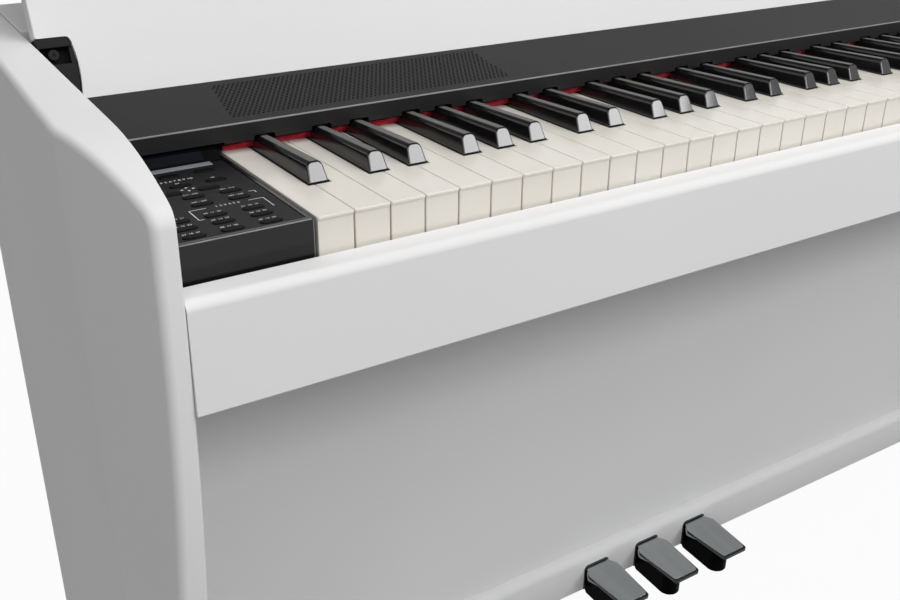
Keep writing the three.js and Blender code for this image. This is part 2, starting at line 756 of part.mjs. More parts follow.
// Black keel with a half-round nose in plan, and a hub on the axle at its rear end
function pedalLever(x) {
  const half = keelWidth / 2;
  const top = plateTop - plateThickness - seatGap;
  const side = new THREE.Shape();
  side.moveTo(keelFront, top);
  side.lineTo(keelFront, keelNoseBottom);
  side.lineTo(keelFront + half, keelNoseBottom);
  side.lineTo(pedalRailFront, keelRearBottom);
  side.lineTo(axleY - 6, axleHeight - 9);
  side.absarc(axleY, axleHeight, 9, -Math.PI / 2, Math.PI / 2, false);
  side.lineTo(plateRear, top);
  side.closePath();
  const plan = new THREE.Shape();
  plan.moveTo(x + half, axleY + 20);
  plan.lineTo(x - half, axleY + 20);
  plan.lineTo(x - half, keelFront + half);
  plan.absarc(x, keelFront + half, half, Math.PI, Math.PI * 2, false);
  plan.closePath();
  const body = common(sweptX(side, x - half, x + half, 6), sweptZ(plan, 0, pedalRailTop, 10));
  return cut(body, rodX(axleRadius + 0.45, x - half - 1, x + half + 1, axleY, axleHeight));
}

// Chrome plate: narrow in the collar, with a round shoulder ahead of it where the sides are turned down
function pedalPlate(x) {
  const neck = plateNeckWidth / 2;
  const wide = plateWidth / 2;
  const shoulder = shoulderWidth / 2;
  const collarFront = pedalRailFront - collarProud;
  const flareY = shoulderY - 14;
  const corner = 4;
  const plan = new THREE.Shape();
  plan.moveTo(x - neck, plateRear);
  plan.lineTo(x - neck, collarFront - 2);
  plan.bezierCurveTo(x - shoulder + 3, collarFront - 4, x - shoulder, shoulderY + 8, x - shoulder, shoulderY);
  plan.bezierCurveTo(x - shoulder, shoulderY - 8, x - wide, flareY, x - wide, flareY - 8);
  plan.lineTo(x - wide, plateFront + corner);
  plan.absarc(x - wide + corner, plateFront + corner, corner, Math.PI, Math.PI * 1.5, false);
  plan.absarc(x + wide - corner, plateFront + corner, corner, Math.PI * 1.5, Math.PI * 2, false);
  plan.lineTo(x + wide, flareY - 8);
  plan.bezierCurveTo(x + wide, flareY, x + shoulder, shoulderY - 8, x + shoulder, shoulderY);
  plan.bezierCurveTo(x + shoulder, shoulderY + 8, x + shoulder - 3, collarFront - 4, x + neck, collarFront - 2);
  plan.lineTo(x + neck, plateRear);
  plan.closePath();
  const under = plateTop - plateThickness;
  const sheet = shapeOf([
    [plateFront, under - 1], [plateFront + 6, under], [plateRear, under],
    [plateRear, plateTop], [plateFront + 3, plateTop], [plateFront, plateTop - 1.6],
  ]);
  const flange = shapeOf([
    [flareY + 2, under + 1], [shoulderY - 4, under - shoulderDrop + 1], [shoulderY + 6, under - shoulderDrop],
    [collarFront - 3, under - shoulderDrop + 3], [collarFront - 3, under + 1],
  ]);
  const inner = keelWidth / 2 + 2.5;
  const whole = joined(
    sweptX(sheet, x - shoulder - 1, x + shoulder + 1),
    sweptX(flange, x - shoulder - 1, x - inner),
    sweptX(flange, x + inner, x + shoulder + 1));
  return common(sweptZ(plan, 0, pedalRailTop, 5), whole);
}

// ---------------------------------------------------------------- assembly

function addCabinet() {
  place('side_panel_left', sidePanel().translate(-sideInner, 0, 0), whiteSatin);
  place('side_panel_right', mirrorX(sidePanel().translate(-sideInner, 0, 0)), whiteSatin);
  place('front_rail', frontRail(), whiteSatin);
  place('key_bed', block(-boardEnd, boardEnd, railInner + seatGap, bedRear, railBottom, bedTop), whiteSatin);
  place('rear_top_panel', rearTopPanel(), whiteSatin);
  place('rear_panel', rearPanel(), whiteSatin);
  place('jack_panel', jackPanel(), satinBlack);
  place('knee_panel', block(-boardEnd, boardEnd, kneeFront, kneeFront + boardThickness,
    pedalRailTop + seatGap, railBottom - seatGap), whiteSatin);
  place('pedal_rail', pedalRail(), whiteSatin);
}

// Mirror image about the middle plane, with its faces turned the right way again
function mirrorX(geometry) {
  const mirrored = geometry.index ? geometry.toNonIndexed() : geometry.clone();
  mirrored.scale(-1, 1, 1);
  const position = mirrored.attributes.position;
  for (let index = 0; index < position.count; index += 3) {
    const swap = new THREE.Vector3().fromBufferAttribute(position, index);
    position.setXYZ(index, position.getX(index + 1), position.getY(index + 1), position.getZ(index + 1));
    position.setXYZ(index + 1, swap.x, swap.y, swap.z);
  }
  return mirrored;
}

function addLid() {
  place('lid', lid(), whiteSatin);
  place('lid_hinge_arm_left', lidArm(1), rubberBlack);
  place('lid_hinge_arm_right', lidArm(-1), rubberBlack);
}

function addFascia() {
  place('fascia', fascia(), satinBlack);
  place('speaker_grille_left', speakerGrille(-1), satinBlack);
  place('speaker_grille_right', speakerGrille(1), satinBlack);
  place('felt_strip', feltStrip(), redFelt);
}

function addControls() {
  place('control_block', controlBlock(), glossBlack);
  place('cheek_block_right', endBlock(1), glossBlack);
  place('display_window', displayWindow(), darkGlass);
  place('cursor_buttons', buttonMat(cursorButtons), rubberBlack);
  place('sound_buttons', buttonMat(soundButtons), rubberBlack);
}

// The lowest keys are separate pieces. Each higher octave is two combs, and the top C joins the last one.
const singleWhites = 9;

function addKeys() {
  place('key_chassis', keyChassis(), steel);
  for (let white = 0; white < singleWhites; white += 1) {
    const octave = white < 2 ? 0 : 1;
    place(`key_${letterOf(white)}${octave}`, whiteKey(white), ivory);
    if (hasSharp(white)) place(`key_${letterOf(white)}s${octave}`, blackKey(white), glossBlack);
  }
  for (let first = singleWhites; first + 6 < whiteCount; first += 7) {
    const octave = 2 + (first - singleWhites) / 7;
    const last = first + 6 === whiteCount - 2 ? first + 7 : first + 6;
    place(`octave_${octave}_white_keys`, whiteComb(first, last), ivory);
    place(`octave_${octave}_black_keys`, blackComb(first, last), glossBlack);
  }
}

function addInside() {
  place('speaker_left', speaker(-1), rubberBlack);
  place('speaker_right', speaker(1), rubberBlack);
  place('main_board', mainBoard(), board);
}

function addPedals() {
  place('pedal_frame', pedalFrame(), rubberBlack);
  place('pedal_axle', pedalAxle(), steel);
  for (const [side, x] of Object.entries(pedalSpots)) {
    place(`pedal_lever_${side}`, pedalLever(x), glossBlack);
    place(`pedal_plate_${side}`, pedalPlate(x), chrome);
  }
}

addCabinet();
addLid();
addFascia();
addControls();
addKeys();
addInside();
addPedals();
piano.position.y = -(cabinetFront + cabinetRear) / 2;

export default piano;
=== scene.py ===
"""Console digital piano: white cabinet, 88-key keyboard, control block, folding lid and three pedals.

The forms are drawn in millimetres: X from the middle of the keyboard, Y from the front edge of the white
keys' tops, Z from the floor. Form.piece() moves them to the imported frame, in metres.
"""

import json
import logging
import math
from collections.abc import Callable, Iterable, Sequence
from dataclasses import dataclass, replace
from enum import Enum

import bmesh
import bpy
from mathutils import Matrix, Vector


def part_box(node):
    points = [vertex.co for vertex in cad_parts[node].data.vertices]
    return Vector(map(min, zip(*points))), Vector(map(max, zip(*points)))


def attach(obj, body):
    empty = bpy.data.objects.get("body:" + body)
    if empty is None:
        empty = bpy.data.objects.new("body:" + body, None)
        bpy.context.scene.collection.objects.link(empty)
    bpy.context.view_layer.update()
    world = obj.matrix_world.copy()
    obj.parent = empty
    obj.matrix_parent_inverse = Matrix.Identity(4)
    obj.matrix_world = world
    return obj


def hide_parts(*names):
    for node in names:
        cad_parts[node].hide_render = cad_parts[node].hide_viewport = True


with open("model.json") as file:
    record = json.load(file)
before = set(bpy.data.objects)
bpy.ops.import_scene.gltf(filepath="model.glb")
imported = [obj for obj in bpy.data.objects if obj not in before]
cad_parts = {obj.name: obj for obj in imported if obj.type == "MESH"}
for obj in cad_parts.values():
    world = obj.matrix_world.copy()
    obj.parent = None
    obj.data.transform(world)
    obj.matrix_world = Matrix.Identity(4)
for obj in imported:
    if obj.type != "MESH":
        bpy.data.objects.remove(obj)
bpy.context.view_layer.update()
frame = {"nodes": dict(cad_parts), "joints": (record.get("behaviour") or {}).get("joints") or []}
log = logging.getLogger("piano")

MM = 0.001
WHITE_LIP = 1.8
KEY_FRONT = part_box("key_A0")[0].y / MM + WHITE_LIP
KEY_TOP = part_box("key_A0")[1].z / MM
BOARD_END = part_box("front_rail")[1].x / MM

Point = tuple[float, float]
Colour = tuple[float, float, float, float]
Socket = bpy.types.NodeSocket
Edge = bmesh.types.BMEdge
Face = bmesh.types.BMFace
Vert = bmesh.types.BMVert
Test = Callable[[Vector], bool]

SIDES = {-1: "left", 1: "right"}
# Places closer than this are the same, in millimetres.
NEAR = 0.01
# Edges at least this sharp count as square, in degrees.
SQUARE = 60.0
EVEN = (1.0, 1.0, 1.0)
LIT_WHITE: Colour = (1.0, 1.0, 1.0, 1.0)


def bench_box(node: str) -> tuple[Vector, Vector]:
    """Finds a CAD node's box as the forms are drawn, in millimetres.

    Args:
        node: The node's name.

    Returns:
        Its lowest and its highest corner.
    """
    low, high = (Vector(corner) / MM - Vector((0, KEY_FRONT, 0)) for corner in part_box(node))
    return low, high


def placed(name: str, data: bpy.types.ID) -> bpy.types.Object:
    """Puts a new object into the scene.

    Args:
        name: Its name.
        data: The mesh, lamp or other data that it shows.

    Returns:
        The object.
    """
    thing = bpy.data.objects.new(name, data)
    bpy.context.scene.collection.objects.link(thing)
    return thing


class Plane(Enum):
    """The plane that an outline is drawn in."""

    XY = "XY"
    XZ = "XZ"
    YZ = "YZ"

    def at(self, first: float, second: float, level: float) -> Vector:
        """Finds the point at two coordinates in the plane.

        Args:
            first: The plane's first coordinate.
            second: The plane's second coordinate.
            level: How far along its normal.

        Returns:
            The point.
        """
        if self is Plane.XY:
            return Vector((first, second, level))
        if self is Plane.XZ:
            return Vector((first, level, second))
        return Vector((level, first, second))

    def turn(self, angle: float) -> tuple[Vector, float]:
        """Finds the axis that turns the first coordinate towards the second.

        Args:
            angle: The turn, in radians.

        Returns:
            The axis, and the angle about it.
        """
        if self is Plane.XZ:
            return Vector((0, 1, 0)), -angle
        return self.at(0, 0, 1), angle


# ---------------- forms


class Form:
    """A mesh on the bench, in millimetres, with the shop's operations as methods."""

    def __init__(self) -> None:
        """Starts with nothing on the bench."""
        self.bm = bmesh.new()

    def box(self, low: Sequence[float], high: Sequence[float], bevel: float = 0.0, segments: int = 2) -> "Form":
        """Adds a block between two corners.

        Args:
            low: Lowest corner.
            high: Highest corner.
            bevel: Width of the rounding on all its edges, or 0.
            segments: Steps of that rounding.

        Returns:
            This form.
        """
        verts = bmesh.ops.create_cube(self.bm, size=1.0)["verts"]
        low, high = Vector(low), Vector(high)
        bmesh.ops.scale(self.bm, vec=high - low, verts=verts)
        bmesh.ops.translate(self.bm, vec=(low + high) / 2, verts=verts)
        if bevel:
            self.bevel({e for v in verts for e in v.link_edges}, bevel, segments)
        return self

    def rod(self, centre: Sequence[float], radius: float, length: float, axis: str = "X",
            sides: int = 24, bevel: float = 0.0) -> "Form":
        """Adds a round bar.

        Args:
            centre: Its middle.
            radius: Its radius.
            length: Its length.
            axis: The axis it lies along.
            sides: Number of its sides.
            bevel: Rounding of its two rims, or 0.

        Returns:
            This form.
        """
        turned = {"X": Matrix.Rotation(math.pi / 2, 4, "Y"), "Y": Matrix.Rotation(math.pi / 2, 4, "X"),
                  "Z": Matrix.Identity(4)}[axis]
        verts = bmesh.ops.create_cone(
            self.bm, cap_ends=True, segments=sides, radius1=radius, radius2=radius, depth=length,
            matrix=Matrix.Translation(Vector(centre)) @ turned)["verts"]
        if bevel:
            rims = {e for v in verts for e in v.link_edges if any(len(f.verts) == sides for f in e.link_faces)}
            self.bevel(rims, bevel, 2)
        return self

    def ring(self, centre: Sequence[float], inner: float, outer: float, length: float, steps: int = 24) -> "Form":
        """Adds a tube that lies along Y.

        Args:
            centre: Its middle.
            inner: Radius of its bore.
            outer: Its outer radius.
            length: Its length.
            steps: Steps of the turn.

        Returns:
            This form.
        """
        middle = Vector(centre)
        half = length / 2
        corners = [self.bm.verts.new(middle + Vector((r, y, 0)))
                   for r, y in ((inner, -half), (outer, -half), (outer, half), (inner, half))]
        section = self.bm.faces.new(corners)
        bmesh.ops.spin(self.bm, geom=[section, *section.edges, *corners], cent=middle, axis=(0, 1, 0),
                       angle=2 * math.pi, steps=steps, use_merge=True, use_duplicate=False)
        return self

    def face(self, outline: "Outline") -> Face:
        """Closes an outline and returns its face."""
        outline.close()
        return self.bm.faces.new(outline.verts)

    def sheet(self, outlines: Iterable["Outline"]) -> list[Face]:
        """Fills an outline that has holes.

        Args:
            outlines: The outer outline, then those of the holes.

        Returns:
            The faces that fill it.
        """
        edges = [edge for outline in outlines for edge in outline.close()]
        filled = bmesh.ops.triangle_fill(self.bm, edges=edges, use_beauty=True, use_dissolve=False)
        return [g for g in filled["geom"] if isinstance(g, Face)]

    def extrude(self, faces: Iterable[Face], by: Sequence[float]) -> list[Vert]:
        """Pulls faces out of the form.

        Args:
            faces: The faces to pull.
            by: How far they go.

        Returns:
            The vertices of the faces' new place.
        """
        pulled = list(faces)
        made = bmesh.ops.extrude_face_region(self.bm, geom=pulled)["geom"]
        verts = [g for g in made if isinstance(g, Vert)]
        bmesh.ops.translate(self.bm, vec=Vector(by), verts=verts)
        if any(len(edge.link_faces) > 2 for face in pulled for edge in face.edges):
            bmesh.ops.delete(self.bm, geom=pulled, context="FACES")
        return verts

    def prism(self, outline: "Outline", by: Sequence[float]) -> list[Vert]:
        """Fills an outline, pulls it out and returns the vertices of its far end."""
        return self.extrude([self.face(outline)], by)

    def bevel(self, edges: Iterable[Edge], width: float, segments: int = 2) -> "Form":
        """Rounds edges.

        Args:
            edges: The edges to round.
            width: How far back the rounding starts.
            segments: Its steps.

        Returns:
            This form.
        """
        chosen = list(edges)
        if chosen:
            bmesh.ops.bevel(self.bm, geom=chosen, offset=width, offset_type="OFFSET", affect="EDGES",
                            segments=segments, profile=0.5, material=-1, clamp_overlap=True)
        return self

    def edges(self, test: Test, sharp: float = 20.0) -> list[Edge]:
        """Finds edges to round.

        Args:
            test: Says of a point whether it counts; both ends of an edge have to.
            sharp: Least angle between the edge's faces, in degrees.

        Returns:
            The edges found.
        """
        return [e for e in self.bm.edges if len(e.link_faces) == 2
                and all(test(v.co) for v in e.verts) and e.calc_face_angle(0.0) > math.radians(sharp)]

    def lines(self, test: Test, axis: int, least: float) -> list[Edge]:
        """Finds edges that run along an axis.

        Args:
            test: Says of a point whether it counts; both ends of an edge have to.
            axis: 0 for X, 1 for Y, 2 for Z.
            least: Least distance between the edge's ends along the axis.

        Returns:
            The edges found.
        """
        return [e for e in self.bm.edges if all(test(v.co) for v in e.verts)
                and abs(e.verts[0].co[axis] - e.verts[1].co[axis]) > least]

    def slice(self, point: Sequence[float], normal: Sequence[float]) -> "Form":
        """Cuts every face along a plane and removes nothing.

        Args:
            point: A point of the plane.
            normal: The plane's normal.

        Returns:
            This form.
        """
        geometry = [*self.bm.verts, *self.bm.edges, *self.bm.faces]
        bmesh.ops.bisect_plane(self.bm, geom=geometry, plane_co=Vector(point), plane_no=Vector(normal))
        return self

    def move(self, shift: Callable[[Vector], Vector]) -> "Form":
        """Moves every vertex.

        Args:
            shift: Gives a point's new place.

        Returns:
            This form.
        """
        for vert in self.bm.verts:
            vert.co = shift(vert.co)
        return self

    def transform(self, matrix: Matrix) -> "Form":
        """Turns or moves the whole form and returns it."""
        bmesh.ops.transform(self.bm, matrix=matrix, verts=self.bm.verts)
        return self

    def take(self, other: "Form") -> "Form":
        """Takes in another form's shape.

        Args:
            other: The form that is used up.

        Returns:
            This form.
        """
        holder = bpy.data.meshes.new("taken")
        other.bm.to_mesh(holder)
        other.bm.free()
        self.bm.from_mesh(holder)
        bpy.data.meshes.remove(holder)
        return self

    def mirrored(self) -> "Form":
        """Returns a copy of this form, mirrored about the middle plane."""
        other = Form()
        other.bm = self.bm.copy()
        bmesh.ops.scale(other.bm, vec=(-1, 1, 1), verts=other.bm.verts)
        return other

    def piece(self, name: str, finish: "Finish", body: str, *replaced: str, smooth: float = 40.0,
              weighted: bool = True) -> bpy.types.Object:
        """Makes the finished piece and hangs it on its body.

        Args:
            name: The piece's name.
            finish: Its finish.
            body: The body that it moves with.
            replaced: CAD nodes that it stands for.
            smooth: Edges sharper than this stay sharp, in degrees.
            weighted: Whether large faces keep their flat shading.

        Returns:
            The piece's object.
        """
        bmesh.ops.remove_doubles(self.bm, verts=self.bm.verts, dist=0.0005)
        bmesh.ops.recalc_face_normals(self.bm, faces=self.bm.faces)
        self.transform(Matrix.Scale(MM, 4) @ Matrix.Translation((0, KEY_FRONT, 0)))
        mesh = bpy.data.meshes.new(name)
        self.bm.to_mesh(mesh)
        self.bm.free()
        mesh.shade_smooth()
        mesh.set_sharp_from_angle(angle=math.radians(smooth))
        mesh.materials.append(finish.material())
        piece = placed(name, mesh)
        if weighted:
            piece.modifiers.new("flat faces", "WEIGHTED_NORMAL").keep_sharp = True
        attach(piece, body)
        if replaced:
            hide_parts(*replaced)
        log.info("%s: %d faces", name, len(mesh.polygons))
        return piece


class Outline:
    """A closed outline, drawn vertex by vertex in one plane."""

    def __init__(self, form: Form, plane: Plane, level: float, start: Point) -> None:
        """Sets the pen down.

        Args:
            form: The form that it is drawn on.
            plane: The plane that it is drawn in.
            level: How far along the plane's normal it lies.
            start: Its first point.
        """
        self.form, self.plane, self.level = form, plane, level
        self.verts = [form.bm.verts.new(plane.at(*start, level))]
        self.lines: list[Edge] = []

    def to(self, *points: Point) -> "Outline":
        """Draws straight lines.

        Args:
            points: The points to draw through, in turn.

        Returns:
            This outline.
        """
        for point in points:
            vert = self.form.bm.verts.new(self.plane.at(*point, self.level))
            self.lines.append(self.form.bm.edges.new((self.verts[-1], vert)))
            self.verts.append(vert)
        return self

    def arc(self, centre: Point, degrees: float, steps: int = 6) -> "Outline":
        """Turns the pen about a centre.

        Args:
            centre: The arc's centre.
            degrees: How far it turns, from the first coordinate towards the second.
            steps: Number of straight steps.

        Returns:
            This outline.
        """
        axis, angle = self.plane.turn(math.radians(degrees))
        last = self.verts[-1]
        known = set(self.form.bm.verts)
        bmesh.ops.spin(self.form.bm, geom=[last], cent=self.plane.at(*centre, self.level), axis=axis,
                       angle=angle, steps=steps, use_duplicate=False)
        left = set(self.form.bm.verts) - known
        while left:
            edge = next(e for e in last.link_edges if e.other_vert(last) in left)
            last = edge.other_vert(last)
            left.remove(last)
            self.lines.append(edge)
            self.verts.append(last)
        return self

    def arch(self, middle: float, half: float, top: float, radius: float, steps: int) -> "Outline":
        """Draws an opening's left side, its top and both of the top's round corners.

        Args:
            middle: The opening's middle.
            half: Half its width.
            top: Height of its top.
            radius: Radius of its corners.
            steps: Steps of each corner.

        Returns:
            This outline.
        """
        self.to((middle - half, top - radius)).arc((middle - half + radius, top - radius), -90, steps)
        return self.to((middle + half - radius, top)).arc((middle + half - radius, top - radius), -90, steps)

    def close(self) -> list[Edge]:
        """Joins the outline's end to its start and returns its edges."""
        first, last = self.verts[0], self.verts[-1]
        if (first.co - last.co).length < 1e-3:
            bmesh.ops.weld_verts(self.form.bm, targetmap={last: first})
            self.verts.pop()
            self.lines = [e for e in {e for v in self.verts for e in v.link_edges} if e.is_valid]
        else:
            self.lines.append(self.form.bm.edges.new((last, first)))
        return self.lines


def box_outline(form: Form, plane: Plane, level: float, low: Point, high: Point) -> Outline:
    """Returns a rectangle between two corners as an outline."""
    return Outline(form, plane, level, low).to((high[0], low[1]), high, (low[0], high[1]))


def stadium(form: Form, level: float, centre: Point, length: float, depth: float, steps: int = 8) -> Outline:
    """Draws a slot with round ends, flat in XY.

    Args:
        form: The form that it is drawn on.
        level: Its height.
        centre: Its middle.
        length: Its length along X.
        depth: Its width along Y.
        steps: Steps of each round end.

    Returns:
        The outline.
    """
    x, y = centre
    reach, radius = (length - depth) / 2, depth / 2
    slot = Outline(form, Plane.XY, level, (x + reach, y - radius)).arc((x + reach, y), 180, steps)
    return slot.to((x - reach, y + radius)).arc((x - reach, y), 180, steps)


# ---------------- finishes


class Recipe:
    """A node tree with short ways to add nodes and join them."""

    def __init__(self, tree: bpy.types.NodeTree) -> None:
        """Takes the tree to work in."""
        self.tree = tree

    def add(self, kind: str, **settings: object) -> bpy.types.Node:
        """Adds a node.

        Args:
            kind: The node's type name without its prefix.
            settings: Its properties by name.

        Returns:
            The node.
        """
        node = self.tree.nodes.new("ShaderNode" + kind)
        for name, value in settings.items():
            setattr(node, name, value)
        return node

    def feed(self, node: bpy.types.Node, **inputs: object) -> bpy.types.Node:
        """Sets a node's sockets; an underscore in a name stands for a space.

        Args:
            node: The node to feed.
            inputs: For each socket a value, or another node's output to join to it.

        Returns:
            The node.
        """
        for name, value in inputs.items():
            socket = node.inputs[int(name[1:])] if name[0] == "i" and name[1:].isdigit() \
                else node.inputs[name.replace("_", " ")]
            if isinstance(value, Socket):
                self.tree.links.new(value, socket)
            else:
                socket.default_value = value
        return node

    def math(self, operation: str, first: object, second: object, **settings: object) -> Socket:
        """Returns the result of one sum or comparison."""
        node = self.feed(self.add("Math", operation=operation, **settings), i0=first, i1=second)
        return node.outputs["Value"]

    def blend(self, share: Socket, first: object, second: object) -> Socket:
        """Returns the colour that goes from first to second with share."""
        node = self.feed(self.add("Mix", data_type="RGBA"), Factor=share, i6=first, i7=second)
        return node.outputs[2]


def tone(red: int, green: int, blue: int) -> Colour:
    """Turns a colour of the usual scale into light.

    Args:
        red: Red, from 0 to 255.
        green: Green, from 0 to 255.
        blue: Blue, from 0 to 255.

    Returns:
        The colour as linear light, with full alpha.
    """
    def linear(value: int) -> float:
        """Returns one channel as linear light."""
        share = value / 255
        return share / 12.92 if share <= 0.04045 else ((share + 0.055) / 1.055) ** 2.4
    return linear(red), linear(green), linear(blue), 1.0


class Effects:
    """Node groups that several finishes share, each built once."""

    built: dict[str, bpy.types.NodeTree] = {}

    @classmethod
    def start(cls, name: str, inputs: dict[str, str], outputs: dict[str, str]) -> Recipe:
        """Starts a group.

        Args:
            name: The group's name.
            inputs: Socket types of its inputs by name.
            outputs: Socket types of its outputs by name.

        Returns:
            The recipe to fill in.
        """
        tree = bpy.data.node_groups.new(name, "ShaderNodeTree")
        for way, sockets in (("INPUT", inputs), ("OUTPUT", outputs)):
            for label, kind in sockets.items():
                tree.interface.new_socket(label, in_out=way, socket_type="NodeSocket" + kind)
        cls.built[name] = tree
        return Recipe(tree)

    @classmethod
    def grain(cls) -> bpy.types.NodeTree:
        """Returns the group for fine grain: a value between Low and High, and the grain's height."""
        if "grain" not in cls.built:
            recipe = cls.start("grain", {"Vector": "Vector", "Scale": "Float", "Low": "Float", "High": "Float"},
                               {"Value": "Float", "Height": "Float"})
            given, out = recipe.tree.nodes.new("NodeGroupInput"), recipe.tree.nodes.new("NodeGroupOutput")
            noise = recipe.feed(recipe.add("TexNoise"), Vector=given.outputs["Vector"],
                                Scale=given.outputs["Scale"], Detail=3.0, Roughness=0.55)
            ranged = recipe.feed(recipe.add("MapRange"), Value=noise.outputs["Fac"], From_Min=0.3, From_Max=0.7,
                                 To_Min=given.outputs["Low"], To_Max=given.outputs["High"])
            recipe.feed(out, Value=ranged.outputs["Result"], Height=noise.outputs["Fac"])
        return cls.built["grain"]

    @classmethod
    def clouding(cls) -> bpy.types.NodeTree:
        """Returns the group that drifts slowly between two colours over the surface."""
        if "clouding" not in cls.built:
            recipe = cls.start("clouding", {"Vector": "Vector", "Scale": "Float", "Main": "Color", "Other": "Color"},
                               {"Color": "Color"})
            given, out = recipe.tree.nodes.new("NodeGroupInput"), recipe.tree.nodes.new("NodeGroupOutput")
            noise = recipe.feed(recipe.add("TexNoise"), Vector=given.outputs["Vector"],
                                Scale=given.outputs["Scale"], Detail=2.0, Roughness=0.5)
            ranged = recipe.feed(recipe.add("MapRange"), Value=noise.outputs["Fac"], From_Min=0.35, From_Max=0.65)
            recipe.feed(out, Color=recipe.blend(ranged.outputs["Result"], given.outputs["Main"],
                                                given.outputs["Other"]))
        return cls.built["clouding"]


@dataclass(frozen=True)
class Finish:
    """A painted, moulded or metal surface; its fine grain drives roughness and bump."""

    name: str
    slot: str
    main: Colour
    other: Colour
    smooth: float = 0.3
    rough: float = 0.4
    grain: float = 300.0
    clouds: float = 6.0
    relief: float = 0.00003
    strength: float = 0.15
    metallic: float = 0.0
    specular: float = 0.5
    coat: float = 0.0
    coat_roughness: float = 0.05
    sheen: float = 0.0
    stretch: tuple[float, float, float] = EVEN

    def material(self) -> bpy.types.Material:
        """Returns the finish's material, made on first use."""
        known = bpy.data.materials.get(self.name)
        if known:
            return known
        made = bpy.data.materials.new(self.name)
        made.use_nodes = True
        recipe = Recipe(made.node_tree)
        shader = made.node_tree.nodes["Principled BSDF"]
        where = recipe.add("TexCoord").outputs["Object"]
        if self.stretch != EVEN:
            where = recipe.feed(recipe.add("Mapping"), Vector=where, Scale=self.stretch).outputs["Vector"]
        grain = recipe.add("Group", node_tree=Effects.grain())
        recipe.feed(grain, Vector=where, Scale=self.grain, Low=self.smooth, High=self.rough)
        bump = recipe.feed(recipe.add("Bump"), Height=self.height(recipe, where, grain.outputs["Height"]),
                           Strength=self.strength, Distance=self.relief)
        recipe.feed(shader, Base_Color=self.color(recipe, where),
                    Roughness=self.roughness(recipe, grain.outputs["Value"]),
                    Normal=bump.outputs["Normal"], Metallic=self.metallic, Specular_IOR_Level=self.specular,
                    Coat_Weight=self.coating(recipe), Coat_Roughness=self.coat_roughness, Sheen_Weight=self.sheen)
        return made

    def color(self, recipe: Recipe, where: Socket) -> Socket:
        """Colours the surface.

        Args:
            recipe: The material's recipe.
            where: The point of the surface.

        Returns:
            The colour.
        """
        clouds = recipe.add("Group", node_tree=Effects.clouding())
        recipe.feed(clouds, Vector=where, Scale=self.clouds, Main=self.main, Other=self.other)
        return clouds.outputs["Color"]

    def height(self, recipe: Recipe, where: Socket, grain: Socket) -> Socket:
        """Returns the socket of the surface's relief; a plain finish has only its grain."""
        return grain

    def roughness(self, recipe: Recipe, grain: Socket) -> Socket:
        """Returns the socket of the surface's roughness; a plain finish has only its grain's."""
        return grain

    def coating(self, recipe: Recipe) -> float | Socket:
        """Returns the weight of the clear coat; a plain finish has the same all over."""
        return self.coat


@dataclass(frozen=True)
class RingedFinish(Finish):
    """A finish with round ridges about a line along Y, as on a speaker's cone."""

    centre: tuple[float, float, float] = (0.0, 0.0, 0.0)
    ridges: float = 90.0

    def height(self, recipe: Recipe, where: Socket, grain: Socket) -> Socket:
        """Raises the surface in round ridges.

        Args:
            recipe: The material's recipe.
            where: The point of the surface.
            grain: The grain's height.

        Returns:
            The height of the grain and the ridges together.
        """
        placed = recipe.feed(recipe.add("Mapping"), Vector=where, Location=[-c for c in self.centre])
        waves = recipe.feed(recipe.add("TexWave", wave_type="RINGS", rings_direction="Y"),
                            Vector=placed.outputs["Vector"], Scale=self.ridges)
        return recipe.math("ADD", grain, waves.outputs["Fac"])


@dataclass(frozen=True)
class PaintedSheenTopFinish(Finish):
    """A coated finish that is satin where it faces up, as on a key's grip, with a light grey painted sheen on that top,
    and bare on the rounding beside it.
    """

    # top is a painted light grey sheen laid on what faces up, within top_facing; top_rough is the satin's real
    # roughness there.
    top: Colour = (0.0, 0.0, 0.0, 1.0)
    top_rough: float = 0.6
    top_facing: Point = (0.95, 0.99)
    bare_facing: Point = (0.52, 0.7)

    @staticmethod
    def upward(recipe: Recipe, facing: Point, low: float = 0.0, high: float = 1.0) -> Socket:
        """Measures how far the surface faces up.

        Args:
            recipe: The material's recipe.
            facing: Where the change starts and ends; 0 is upright and 1 is level.
            low: The value before the change.
            high: The value after it.

        Returns:
            The value.
        """
        normal = recipe.feed(recipe.add("SeparateXYZ"), Vector=recipe.add("TexCoord").outputs["Normal"])
        ranged = recipe.feed(recipe.add("MapRange"), Value=normal.outputs["Z"], From_Min=facing[0],
                             From_Max=facing[1], To_Min=low, To_Max=high)
        return ranged.outputs["Result"]

    def coating(self, recipe: Recipe) -> Socket:
        """Returns the socket of the coat's weight, which fades over the rounding."""
        return self.upward(recipe, self.bare_facing, self.coat, 0.0)

    def color(self, recipe: Recipe, where: Socket) -> Socket:
        """Returns the colour: a painted light grey sheen on what faces up, and the gloss's colour beside it."""
        return recipe.blend(self.upward(recipe, self.top_facing), super().color(recipe, where), self.top)

    def roughness(self, recipe: Recipe, grain: Socket) -> Socket:
        """Roughens what faces up.

        Args:
            recipe: The material's recipe.
            grain: The roughness of the gloss beside it.

        Returns:
            The roughness.
        """
        mix = recipe.feed(recipe.add("Mix", data_type="FLOAT"), Factor=self.upward(recipe, self.top_facing),
                          i2=grain, i3=self.top_rough)
        return mix.outputs[0]


